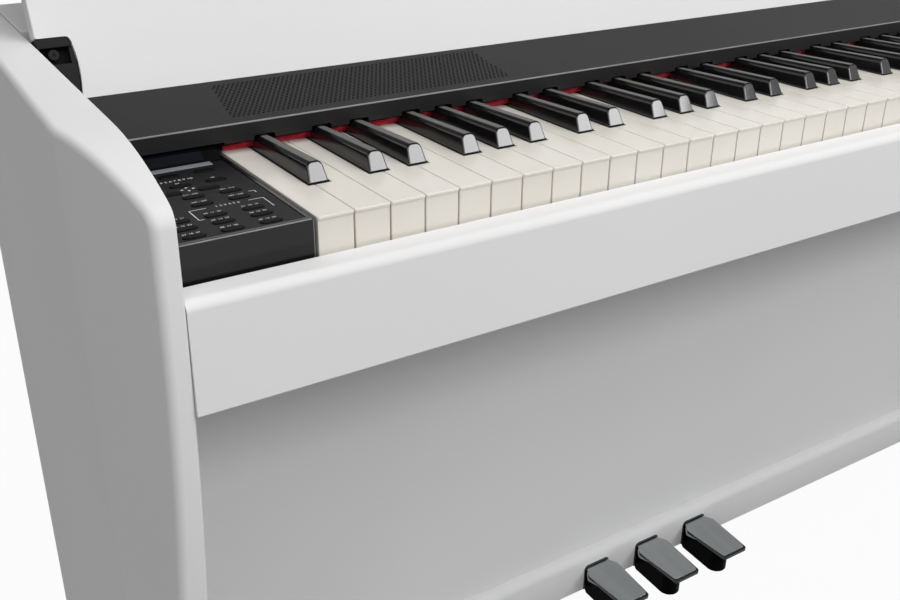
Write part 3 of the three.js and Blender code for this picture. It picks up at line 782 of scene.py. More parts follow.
@dataclass(frozen=True)
class LayeredFinish(Finish):
    """A finish whose colour changes above a height, as on a board with parts on it."""

    level: float = 0.0
    upper: Colour = (0.0, 0.0, 0.0, 1.0)

    def color(self, recipe: Recipe, where: Socket) -> Socket:
        """Colours the board with its tracks, and what stands on it.

        Args:
            recipe: The material's recipe.
            where: The point of the surface.

        Returns:
            The colour.
        """
        tracks = recipe.feed(recipe.add("TexBrick"), Vector=where, Color1=self.main, Color2=self.main,
                             Mortar=self.other, Scale=60.0, Mortar_Size=0.03)
        height = recipe.feed(recipe.add("SeparateXYZ"), Vector=where).outputs["Z"]
        above = recipe.math("GREATER_THAN", height, self.level)
        return recipe.blend(above, tracks.outputs["Color"], self.upper)


LACQUER = Finish("white satin lacquer", "white_cabinet", tone(240, 240, 240), tone(238, 238, 238), specular=0.02,
                 smooth=0.38, rough=0.46, grain=420.0, clouds=3.0, relief=0.000006, strength=0.05)
IVORY = Finish("white key resin", "key_white", tone(238, 234, 225), tone(234, 229, 219), smooth=0.18, rough=0.26,
               grain=600.0, clouds=9.0, relief=0.00001, strength=0.08)
# The black keys' top= colour is a painted light grey sheen on their upward faces.
EBONY = PaintedSheenTopFinish("black key resin with painted top sheen", "key_black", tone(17, 17, 18), tone(22, 22, 22), smooth=0.12, rough=0.18,
                     grain=900.0, clouds=14.0, relief=0.00001, strength=0.06, specular=0.05, coat=1.0,
                     coat_roughness=0.15, top=tone(112, 112, 110), top_rough=0.5)
PANEL_BLACK = Finish("fascia plastic", "black_panel", tone(19, 19, 20), tone(23, 23, 24), smooth=0.5, rough=0.62,
                     grain=2600.0, clouds=5.0, relief=0.00004, strength=0.3, specular=0.15)
GRILLE_BLACK = replace(PANEL_BLACK, name="grille plastic", slot="grille")
SPEAKER_CLOTH = Finish("speaker cloth", "grille", tone(14, 14, 14), tone(9, 9, 9), smooth=0.85, rough=0.95,
                       grain=1800.0, clouds=700.0, relief=0.0002, strength=0.6, sheen=0.2)
GLOSS_BLACK = Finish("gloss black moulding", "gloss_black", tone(19, 19, 20), tone(23, 23, 23), smooth=0.12,
                     rough=0.2, grain=700.0, clouds=8.0, relief=0.00001, strength=0.08, specular=0.35)
CONTROL_BLACK = Finish("control panel film", "black_panel", tone(21, 21, 22), tone(25, 25, 26), smooth=0.45,
                       rough=0.58, grain=3000.0, clouds=8.0, strength=0.3, specular=0.12)
RUBBER = Finish("button rubber", "button_rubber", tone(5, 5, 5), tone(8, 8, 8), smooth=0.45, rough=0.6,
                grain=2200.0, clouds=60.0, strength=0.2, specular=0.06)
BLACK_PLASTIC = Finish("black moulded plastic", "black_plastic", tone(30, 30, 31), tone(35, 35, 36), smooth=0.35,
                       rough=0.5, grain=1700.0, clouds=20.0, strength=0.25)
SKIRT_BLACK = Finish("skirt plastic", "gloss_black", tone(27, 27, 28), tone(31, 31, 32), smooth=0.34, rough=0.44,
                     grain=1800.0, clouds=6.0, relief=0.00002, strength=0.2, specular=0.25)
# Light grey colour laid on black edges as a painted highlight.
PAINTED_EDGE_HIGHLIGHT = Finish("painted edge highlight", "gloss_black", tone(136, 136, 137), tone(124, 124, 125), smooth=0.25,
                       rough=0.35, grain=900.0, clouds=30.0, relief=0.00001, strength=0.1, specular=0.4)
HINGE_BLACK = Finish("hinge moulding", "black_plastic", tone(24, 24, 25), tone(27, 27, 28), smooth=0.42, rough=0.55,
                     grain=1700.0, clouds=20.0, strength=0.25, specular=0.12)
# A darker black for the plate under each hinge arm: painted shade of the notch.
HINGE_PAINTED_SHADE = replace(HINGE_BLACK, name="hinge recess painted shade", main=tone(10, 10, 11), other=tone(13, 13, 13), smooth=0.5,
                      rough=0.6, specular=0.06)
FELT = Finish("red felt", "red_felt", tone(232, 18, 52), tone(205, 12, 42), smooth=0.85, rough=1.0, grain=1500.0,
              clouds=900.0, relief=0.0004, strength=0.7, sheen=0.5)
GLASS = Finish("display glass", "display_glass", tone(7, 10, 16), tone(10, 14, 22), smooth=0.08, rough=0.14,
               clouds=25.0, relief=0.00001, strength=0.02, specular=0.02)
SILL_GREY = Finish("display sill", "black_panel", tone(140, 143, 151), tone(132, 135, 143), grain=1600.0,
                   clouds=20.0, relief=0.00002)
PRINT = Finish("panel print", "black_panel", tone(225, 225, 225), tone(212, 212, 212), smooth=0.5, rough=0.6,
               grain=2500.0, clouds=200.0, relief=0.00001, strength=0.1)
CHROME = Finish("pedal chrome", "pedal_chrome", tone(176, 181, 181), tone(166, 171, 171), smooth=0.16, rough=0.24,
                grain=500.0, clouds=12.0, relief=0.000008, strength=0.1, metallic=1.0, stretch=(4.0, 0.25, 4.0))
KEEL_BLACK = Finish("gloss black keel", "gloss_black", tone(7, 7, 7), tone(10, 10, 10), smooth=0.14, rough=0.22,
                    grain=600.0, clouds=10.0, relief=0.00001, strength=0.1, specular=0.01)
STEEL = Finish("plain steel", "steel", tone(150, 152, 154), tone(138, 140, 142), rough=0.45,
               grain=900.0, clouds=20.0, relief=0.00002, strength=0.2, metallic=1.0, stretch=(0.2, 3.0, 3.0))


# ---------------- studio


@dataclass(frozen=True)
class Lamp:
    """A soft lamp: where it stands, what it looks at, its two sides, its power and its roll in degrees."""

    name: str
    place: tuple[float, float, float]
    target: tuple[float, float, float]
    width: float
    height: float
    power: float
    roll: float = 0.0


@dataclass
class Studio:
    """Camera, lamps, floor and the white room; metres."""

    eye: tuple[float, float, float] = (-0.8480, -0.66154, 0.96060)
    heading: float = -33.1497
    tilt: float = 25.4773
    roll: float = 0.5746
    lens: float = 42.45
    nearest: float = 0.02
    floor_size: float = 30.0
    floor_tone: Colour = (0.45, 0.45, 0.45, 1.0)
    room_light: float = 0.1
    floor_glow: float = 0.96
    lamps: tuple[Lamp, ...] = (
        Lamp("front lamp", (-1.4, -2.4, 3.0), (0.0, 0.0, 0.5), 2.4, 1.4, 39.0),
        Lamp("left lamp", (-2.8, -1.6, 1.7), (-0.7, 0.1, 0.55), 1.3, 1.3, 6.0),
        Lamp("top lamp", (0.6, -0.9, 3.2), (0.0, 0.0, 0.5), 2.6, 1.6, 35.0),
        Lamp("strip lamp", (1.04, -2.19, 2.14), (-0.4, -0.1, 0.76), 1.65, 0.35, 24.0, roll=-19.0),
    )

    def camera(self) -> None:
        """Sets up the camera."""
        lens = bpy.data.cameras.new("camera")
        lens.lens = self.lens
        lens.clip_start = self.nearest
        eye = placed("camera", lens)
        turn = (Matrix.Rotation(math.radians(self.heading), 4, "Z")
                @ Matrix.Rotation(math.radians(90 - self.tilt), 4, "X")
                @ Matrix.Rotation(math.radians(self.roll), 4, "Z"))
        eye.matrix_world = Matrix.Translation(self.eye) @ turn
        bpy.context.scene.camera = eye

    def hang(self, lamp: Lamp) -> None:
        """Hangs one lamp.

        Args:
            lamp: The lamp.
        """
        light = bpy.data.lights.new(lamp.name, "AREA")
        light.shape = "RECTANGLE"
        light.size, light.size_y, light.energy = lamp.width, lamp.height, lamp.power
        thing = placed(lamp.name, light)
        aim = Vector(lamp.target) - Vector(lamp.place)
        turn = aim.to_track_quat("-Z", "Y").to_matrix().to_4x4() @ Matrix.Rotation(math.radians(lamp.roll), 4, "Z")
        thing.matrix_world = Matrix.Translation(lamp.place) @ turn

    @staticmethod
    def seen(recipe: Recipe) -> Socket:
        """Tells what is looked at from what only lights.

        Args:
            recipe: The recipe that asks.

        Returns:
            1 for camera, glossy and transmission rays and 0 for the rest.
        """
        path = recipe.add("LightPath").outputs
        first = recipe.math("ADD", path["Is Camera Ray"], path["Is Glossy Ray"])
        return recipe.math("ADD", first, path["Is Transmission Ray"], use_clamp=True)

    def room(self) -> None:
        """Makes the world: white where it is seen, dimmer as light."""
        world = bpy.data.worlds.new("room")
        world.use_nodes = True
        bpy.context.scene.world = world
        recipe = Recipe(world.node_tree)
        dim = world.node_tree.nodes["Background"]
        recipe.feed(dim, Color=LIT_WHITE, Strength=self.room_light)
        white = recipe.feed(recipe.add("Background"), Color=LIT_WHITE, Strength=1.0)
        mix = recipe.feed(recipe.add("MixShader"), Fac=self.seen(recipe), i1=dim.outputs[0], i2=white.outputs[0])
        recipe.feed(world.node_tree.nodes["World Output"], Surface=mix.outputs[0])

    def floor(self) -> None:
        """Lays the plain pale floor."""
        bm = bmesh.new()
        bmesh.ops.create_grid(bm, x_segments=1, y_segments=1, size=self.floor_size / 2)
        mesh = bpy.data.meshes.new("floor")
        bm.to_mesh(mesh)
        bm.free()
        pale = bpy.data.materials.new("pale floor")
        pale.use_nodes = True
        recipe = Recipe(pale.node_tree)
        shader = recipe.feed(pale.node_tree.nodes["Principled BSDF"], Base_Color=self.floor_tone,
                             Roughness=0.9, Specular_IOR_Level=0.1)
        glow = recipe.feed(recipe.add("Emission"), Color=LIT_WHITE, Strength=1.0)
        share = recipe.math("MULTIPLY", self.seen(recipe), self.floor_glow)
        mix = recipe.feed(recipe.add("MixShader"), Fac=share, i1=shader.outputs[0], i2=glow.outputs[0])
        recipe.feed(pale.node_tree.nodes["Material Output"], Surface=mix.outputs[0])
        mesh.materials.append(pale)
        placed("floor", mesh)

    def build(self) -> None:
        """Sets up the whole studio."""
        bpy.context.scene.view_settings.view_transform = "Standard"
        self.camera()
        self.room()
        self.floor()
        for lamp in self.lamps:
            self.hang(lamp)
        log.info("studio: %d lamps", len(self.lamps))


# ---------------- cabinet


@dataclass
class TopLine:
    """The cabinet's upper outline, seen from the side: a sloping top, a long arc and a corner arc."""

    front: float = -24.6
    rear: float = 350.0
    at_arc: float = 50.4
    arc_y: float = 66.0
    slope: float = 3.6
    long_radius: float = 245.0
    corner_radius: float = 12.7
    corner_steps: int = 8

    def height(self, y: float, inset: float = 0.0) -> float:
        """Returns the straight top's height at y, or that of a line inset below it."""
        tilt = math.radians(self.slope)
        return KEY_TOP + self.at_arc + (y - self.arc_y) * math.tan(tilt) - inset / math.cos(tilt)

    @property
    def centre(self) -> Point:
        """Centre of the long arc."""
        tilt = math.radians(self.slope)
        return (self.arc_y + self.long_radius * math.sin(tilt),
                KEY_TOP + self.at_arc - self.long_radius * math.cos(tilt))

    def corner_angle(self, inset: float) -> float:
        """Finds where the long arc meets the corner arc.

        Args:
            inset: How far inside the cabinet's outline it runs.

        Returns:
            The angle from the upright, in degrees.
        """
        small = self.corner_radius - inset
        reach = self.centre[0] - small - (self.front + inset)
        return math.degrees(math.asin(reach / (self.long_radius - inset - small)))

    def draw(self, outline: Outline, inset: float, steps: int = 14) -> Outline:
        """Draws the top from the rear to the upright front.

        Args:
            outline: An outline that has arrived at the rear end of the top.
            inset: How far inside the cabinet's outline it runs.
            steps: Steps of the long arc.

        Returns:
            The outline.
        """
        tilt, angle = math.radians(self.slope), self.corner_angle(inset)
        radius, small = self.long_radius - inset, self.corner_radius - inset
        start = (self.centre[0] - radius * math.sin(tilt), self.centre[1] + radius * math.cos(tilt))
        turn = math.radians(angle)
        corner = (self.centre[0] - (radius - small) * math.sin(turn),
                  self.centre[1] + (radius - small) * math.cos(turn))
        outline.to(start).arc(self.centre, angle - self.slope, steps)
        return outline.arc(corner, 90 - angle, self.corner_steps)


@dataclass
class SidePanels:
    """The two legs: thick at an upright crease, with a swept front edge."""

    top: TopLine
    inner: float = 696.8
    thickness: float = 32.5
    front_thickness: float = 12.7
    rear_thickness: float = 25.7
    crease: float = 72.0
    sweep_radius: float = 1400.0
    sweep_height: float = 380.0
    foot_radius: float = 461.0
    toe_height: float = 15.0
    rounding: float = 4.6
    inner_rounding: float = 1.6
    crease_rounding: float = 9.0
    crease_reach: float = 1.0
    sweep_steps: int = 16
    foot_steps: int = 20

    def wall(self, y: float) -> float:
        """Works out how thick the panel is.

        Args:
            y: Distance from the keys' front edge.

        Returns:
            The thickness.
        """
        if y < self.crease:
            share = (y - self.top.front) / (self.crease - self.top.front)
            return self.front_thickness + (self.thickness - self.front_thickness) * share
        share = (y - self.crease) / (self.top.rear - self.crease)
        return self.thickness + (self.rear_thickness - self.thickness) * share

    def profile(self, form: Form) -> Outline:
        """Draws the panel's side view at its inner face.

        Args:
            form: The form that it is drawn on.

        Returns:
            The outline.
        """
        sweep = math.asin(self.sweep_height / self.sweep_radius)
        knee = (self.top.front + self.sweep_radius * (1 - math.cos(sweep)), KEY_TOP - self.sweep_height)
        foot = (knee[0] - self.foot_radius * math.cos(sweep), knee[1] - self.foot_radius * math.sin(sweep))
        toe = math.asin((foot[1] - self.toe_height) / self.foot_radius)
        outline = Outline(form, Plane.YZ, -self.inner, (self.top.rear, 0.0))
        outline.to((self.top.rear, self.top.height(self.top.rear)))
        self.top.draw(outline, 0.0).to((self.top.front, KEY_TOP))
        outline.arc((self.top.front + self.sweep_radius, KEY_TOP), math.degrees(sweep), self.sweep_steps)
        outline.arc(foot, -math.degrees(sweep + toe), self.foot_steps)
        return outline.to((outline.verts[-1].co.y, 0.0))

    def build(self) -> None:
        """Builds both panels."""
        form = Form()
        form.prism(self.profile(form), (-self.thickness, 0, 0))
        form.slice((0, self.crease, 0), (0, 1, 0))
        outer = -self.inner - self.thickness

        def pared(co: Vector) -> Vector:
            """Pares the outer face down to the panel's thickness."""
            return Vector((-self.inner - self.wall(co.y), co.y, co.z)) if abs(co.x - outer) < NEAR else co

        form.move(pared)
        rim = form.edges(lambda co: co.x < -self.inner - self.front_thickness / 2, sharp=30)
        inside = form.edges(lambda co: co.x > -self.inner - NEAR, sharp=30)
        form.bevel(inside, self.inner_rounding, 3)
        form.bevel([e for e in rim if e.is_valid], self.rounding, 5)
        crease = [e for e in form.bm.edges if all(abs(v.co.y - self.crease) < NEAR for v in e.verts)
                  and all(v.co.x < outer + self.crease_reach for v in e.verts)]
        form.bevel(crease, self.crease_rounding, 4)
        other = form.mirrored()
        form.piece("side_panel_left_lacquered", LACQUER, "cabinet", "side_panel_left", smooth=35)
        other.piece("side_panel_right_lacquered", LACQUER, "cabinet", "side_panel_right", smooth=35)


@dataclass
class Boards:
    """Front rail, knee panel and the rear of the cabinet."""

    top: TopLine
    rail_front: float = -24.0
    rail_inner: float = -3.8
    rail_top: float = 728.0
    rail_bottom: float = 660.5
    rail_radius: float = 6.0
    thickness: float = 14.0
    rear_top_front: float = 269.3
    rounding: float = 1.0
    knee_rounding: float = 0.8
    window_low: Point = (-120.0, 697.0)
    window_high: Point = (20.0, 743.0)

    def rail(self) -> None:
        """Builds the front rail with its rounded upper edge."""
        form = Form()
        outline = Outline(form, Plane.YZ, -BOARD_END, (self.rail_inner, self.rail_bottom))
        outline.to((self.rail_inner, self.rail_top), (self.rail_front + self.rail_radius, self.rail_top))
        outline.arc((self.rail_front + self.rail_radius, self.rail_top - self.rail_radius), 90, 8)
        outline.to((self.rail_front, self.rail_bottom))
        form.prism(outline, (2 * BOARD_END, 0, 0))
        form.bevel(form.edges(lambda co: co.z < self.rail_bottom + NEAR or co.y > self.rail_inner - NEAR, SQUARE),
                   self.rounding, 3)
        form.piece("front_rail_lacquered", LACQUER, "cabinet", "front_rail")

    def knee(self) -> None:
        """Builds the panel behind the player's knees."""
        form = Form().box(*bench_box("knee_panel"), self.knee_rounding)
        form.piece("knee_panel_lacquered", LACQUER, "cabinet", "knee_panel")

    def rear(self) -> None:
        """Builds the strip behind the lid and the back with the window for the sockets."""
        form = Form()
        front = self.rear_top_front
        outline = Outline(form, Plane.YZ, -BOARD_END, (front, self.top.height(front)))
        outline.to((front, self.top.height(front) - self.thickness),
                   (self.top.rear, self.top.height(self.top.rear) - self.thickness),
                   (self.top.rear, self.top.height(self.top.rear)))
        form.prism(outline, (2 * BOARD_END, 0, 0))
        form.bevel(form.edges(lambda co: True, SQUARE), self.rounding, 3)
        form.piece("rear_top_panel_lacquered", LACQUER, "cabinet", "rear_top_panel")

        back = Form()
        low, high = bench_box("rear_panel")
        whole = box_outline(back, Plane.XZ, low.y, (low.x, low.z), (high.x, high.z))
        window = box_outline(back, Plane.XZ, low.y, self.window_low, self.window_high)
        back.extrude(back.sheet([whole, window]), (0, high.y - low.y, 0))
        back.piece("rear_panel_lacquered", LACQUER, "cabinet", "rear_panel")

    def build(self) -> None:
        """Builds all the boards."""
        self.rail()
        self.knee()
        self.rear()


@dataclass
class SocketPanel:
    """Black moulding let into the back: four round sockets and the mains inlet's pocket."""

    socket_pitch: float = 22.0
    first_socket: float = 16.0
    socket_radius: float = 6.0
    bore: float = 3.2
    inlet_width: float = 24.0
    inlet_height: float = 18.0
    inlet_depth: float = 9.0
    inlet_from_right: float = 24.0
    sockets: int = 4
    proud: float = 1.5
    ring_middle: float = 0.6
    ring_length: float = 1.6
    pin: float = 2.0
    pin_height: float = 6.0
    pin_sunk: float = 2.0
    pin_rounding: float = 0.3
    socket_floor: float = 0.2
    pin_places: tuple[Point, ...] = ((-6, -2), (0, 3), (6, -2))

    def build(self) -> None:
        """Builds the moulding."""
        low, high = bench_box("jack_panel")
        face, middle = high.y - self.proud, (low.z + high.z) / 2
        floor, inlet = face - self.inlet_depth, high.x - self.inlet_from_right
        left, right = inlet - self.inlet_width / 2, inlet + self.inlet_width / 2
        bottom, top = middle - self.inlet_height / 2, middle + self.inlet_height / 2
        form = Form()
        whole = box_outline(form, Plane.XZ, low.y, (low.x, low.z), (high.x, high.z))
        pocket = box_outline(form, Plane.XZ, low.y, (left, bottom), (right, top))
        form.extrude(form.sheet([whole, pocket]), (0, face - low.y, 0))
        form.box((left, low.y, bottom), (right, floor, top))
        for index in range(self.sockets):
            x = low.x + self.first_socket + index * self.socket_pitch
            form.ring((x, face + self.ring_middle, middle), self.bore, self.socket_radius, self.ring_length)
            form.rod((x, face + self.socket_floor / 2, middle), self.bore, self.socket_floor, "Y", 16)
        form.piece("socket_panel", BLACK_PLASTIC, "cabinet", "jack_panel")
        pins = Form()
        half = Vector((self.pin, 0, self.pin_height)) / 2
        for x, z in self.pin_places:
            pins.box(Vector((inlet + x, floor, middle + z)) - half,
                     Vector((inlet + x, face - self.pin_sunk, middle + z)) + half, self.pin_rounding)
        pins.piece("inlet_pins", STEEL, "cabinet")


# ---------------- lid


@dataclass
class Lid:
    """The folding lid, stood open, with the black hinge arms in its lower corners."""

    top: TopLine
    end: float = 695.6
    inset: float = 2.2
    thickness: float = 14.0
    tail: float = 31.0
    swing: float = 113.6
    lip_bottom: float = 731.0
    lip_thickness: float = 12.0
    arm_width: float = 22.0
    arm_top: float = 10.6
    gap: float = 0.3
    notch_bow: float = 2.2
    bow_middle: float = 10.0
    bow_half: float = 19.0
    notch_rounding: float = 3.0
    edge_rounding: float = 1.2
    station: int = 5
    arm_play: float = 0.4
    shade_plate_low: float = 0.6
    deck: float = 1.0
    sunk: float = 1.2
    tongue_end: float = -6.6
    cheek_front: float = 5.0
    cheek: float = 1.6
    strip: float = 1.4
    flange: float = 6.5
    soft: float = 0.8
    eye_back: float = 0.6
    eye_off: float = 1.0
    eye_bore: float = 1.0
    eye_radius: float = 3.4
    pin_radius: float = 4.0
    pin_length: float = 14.0
    pin_middle: float = -5.0

    @property
    def hinge(self) -> Vector:
        """The hinge line's place."""
        joint = next(j for j in frame["joints"] if j["name"] == "lid_hinge")
        return Vector(joint["pos_m"]) / MM - Vector((0, KEY_FRONT, 0))

    def opened(self) -> Matrix:
        """Returns the turn from the closed lid to the open one."""
        return (Matrix.Translation(self.hinge) @ Matrix.Rotation(math.radians(-self.swing), 4, "X")
                @ Matrix.Translation(-self.hinge))

    def along(self, distance: float, inset: float) -> Point:
        """Finds a point of the closed lid's side view.

        Args:
            distance: How far forward of the hinge it is.
            inset: How far below the cabinet's outline it is.

        Returns:
            The point.
        """
        tilt = math.radians(self.top.slope)
        base = (self.hinge.y - distance * math.cos(tilt), self.hinge.z - distance * math.sin(tilt))
        rise = self.inset + self.thickness / 2 - inset
        return base[0] - rise * math.sin(tilt), base[1] + rise * math.cos(tilt)

    def bow(self, distance: float) -> float:
        """Returns how far the notch's upright edge is bowed at a distance forward of the hinge."""
        return self.notch_bow * max(0.0, 1 - ((distance + self.bow_middle) / self.bow_half) ** 2)

    def board(self) -> None:
        """Builds the lid's board with a notch in each lower corner."""
        form = Form()
        outer, inner = self.inset, self.inset + self.thickness
        middle = self.end - self.arm_width - self.gap
        stations = [-self.tail, *range(-5 * self.station, 2 * self.station, self.station), self.arm_top]
        outline = Outline(form, Plane.YZ, -middle, self.along(stations[0], outer))
        outline.to(*(self.along(s, outer) for s in stations[1:]))
        self.top.draw(outline, outer)
        lip_inner = self.top.front + outer + self.lip_thickness
        radius = self.top.long_radius - inner
        centre = self.top.centre
        start = math.acos((lip_inner - centre[0]) / radius)
        outline.to((self.top.front + outer, self.lip_bottom), (lip_inner, self.lip_bottom),
                   (lip_inner, centre[1] + radius * math.sin(start)))
        outline.arc(centre, 90 + self.top.slope - math.degrees(start), 14)
        outline.to(*(self.along(s, inner) for s in reversed(stations)))
        form.face(outline)
        ends = [outline.verts[len(stations) - 1], outline.verts[-len(stations)]]
        bmesh.ops.connect_verts(form.bm, verts=ends)
        form.extrude(list(form.bm.faces), (2 * middle, 0, 0))
        step = self.along(self.arm_top, inner)[0]
        for side in SIDES:
            ends = [f for f in form.bm.faces if all(abs(v.co.x - side * middle) < NEAR for v in f.verts)
                    and f.calc_center_median().y < step]
            form.extrude(ends, (side * (self.end - middle), 0, 0))
        form.bevel(form.lines(lambda co: abs(abs(co.x) - middle) < NEAR and abs(co.y - step) < self.thickness / 4,
                              2, self.thickness / 2), self.notch_rounding, 4)

        def bowed(co: Vector) -> Vector:
            """Bows the notches' upright edges outwards between their ends.

            Args:
                co: A point of the lid.

            Returns:
                Its new place.
            """
            if abs(abs(co.x) - middle) > NEAR:
                return co
            distance = (self.hinge.y - co.y) / math.cos(math.radians(self.top.slope))
            return Vector((co.x - math.copysign(self.bow(distance), co.x), co.y, co.z))

        form.move(bowed)
        form.bevel(form.edges(lambda co: abs(co.x) > self.end - NEAR, sharp=50), self.edge_rounding, 3)
        form.bevel(form.edges(lambda co: co.z < self.lip_bottom + NEAR, sharp=50), self.edge_rounding, 3)
        form.transform(self.opened())
        form.piece("lid_lacquered", LACQUER, "lid", "lid", smooth=30)

    def eye(self, half: float) -> Form:
        """Builds the eye that the hinge's pin goes through.

        Args:
            half: Half the arm's thickness.

        Returns:
            The eye's form, level with the arm.
        """
        form = Form()
        form.ring((0, 0, 0), self.eye_bore, self.eye_radius, half + 0.4, 20)
        form.rod((0, 0.4, 0), self.eye_bore, half - 0.6, "Y", 12)
        place = Vector((self.arm_width / 2 - self.eye_off, -self.eye_back, (self.deck - half) / 2))
        return form.transform(Matrix.Translation(place) @ Matrix.Rotation(math.pi / 2, 4, "X"))

    def arm(self, side: int) -> None:
        """Builds one hinge arm and, under it, a darker plate that paints the shade in the lid's notch.

        Args:
            side: -1 at the left, 1 at the right.
        """
        form = Form()
        half, top, width = self.thickness / 2 - self.arm_play, self.arm_top - self.gap, self.arm_width
        # The plate fills the notch beside the arm in a darker black: painted shade.
        plate = Form().box((0, -self.tail, self.shade_plate_low), (width, top, half))
        form.box((0, -self.tail, self.sunk - half), (width, self.tongue_end, self.deck), self.soft, 3)
        form.box((0, self.tongue_end - 0.4, -half), (self.cheek, self.cheek_front, self.deck), 0.3)
        form.box((width - self.strip, self.tongue_end - 0.9, self.sunk - half), (width, top - 6.0, self.deck))
        for part in (form, plate):
            for distance in range(-26, 9, self.station):
                part.slice((0, distance, 0), (0, 1, 0))
            part.move(lambda co: Vector((co.x + self.bow(co.y), co.y, co.z)) if co.x > width - 1 else co)
        flange = Form()
        flange.box((0, top - self.flange, -half), (width, top, self.deck))
        flange.bevel(flange.edges(lambda co: co.x > width - NEAR and co.y > top - NEAR, SQUARE), self.notch_rounding, 5)
        flange.bevel(flange.edges(lambda co: co.z < NEAR - half, SQUARE), self.soft, 3)
        form.take(flange).take(self.eye(half))
        form.rod((self.pin_middle, 0, 0), self.pin_radius, self.pin_length, "X", 20, 0.5)
        tilt = math.radians(self.top.slope)
        seat = self.opened() @ Matrix(((-side, 0, 0, side * self.end),
                                       (0, -math.cos(tilt), -math.sin(tilt), self.hinge.y),
                                       (0, -math.sin(tilt), math.cos(tilt), self.hinge.z), (0, 0, 0, 1)))
        node = f"lid_hinge_arm_{SIDES[side]}"
        form.transform(seat).piece(f"{node}_moulded", HINGE_BLACK, "lid", node)
        plate.transform(seat).piece(f"lid_hinge_plate_{SIDES[side]}", HINGE_PAINTED_SHADE, "lid", node)

    def build(self) -> None:
        """Builds the lid and its two arms."""
        self.board()
        for side in SIDES:
            self.arm(side)


# ---------------- keyboard


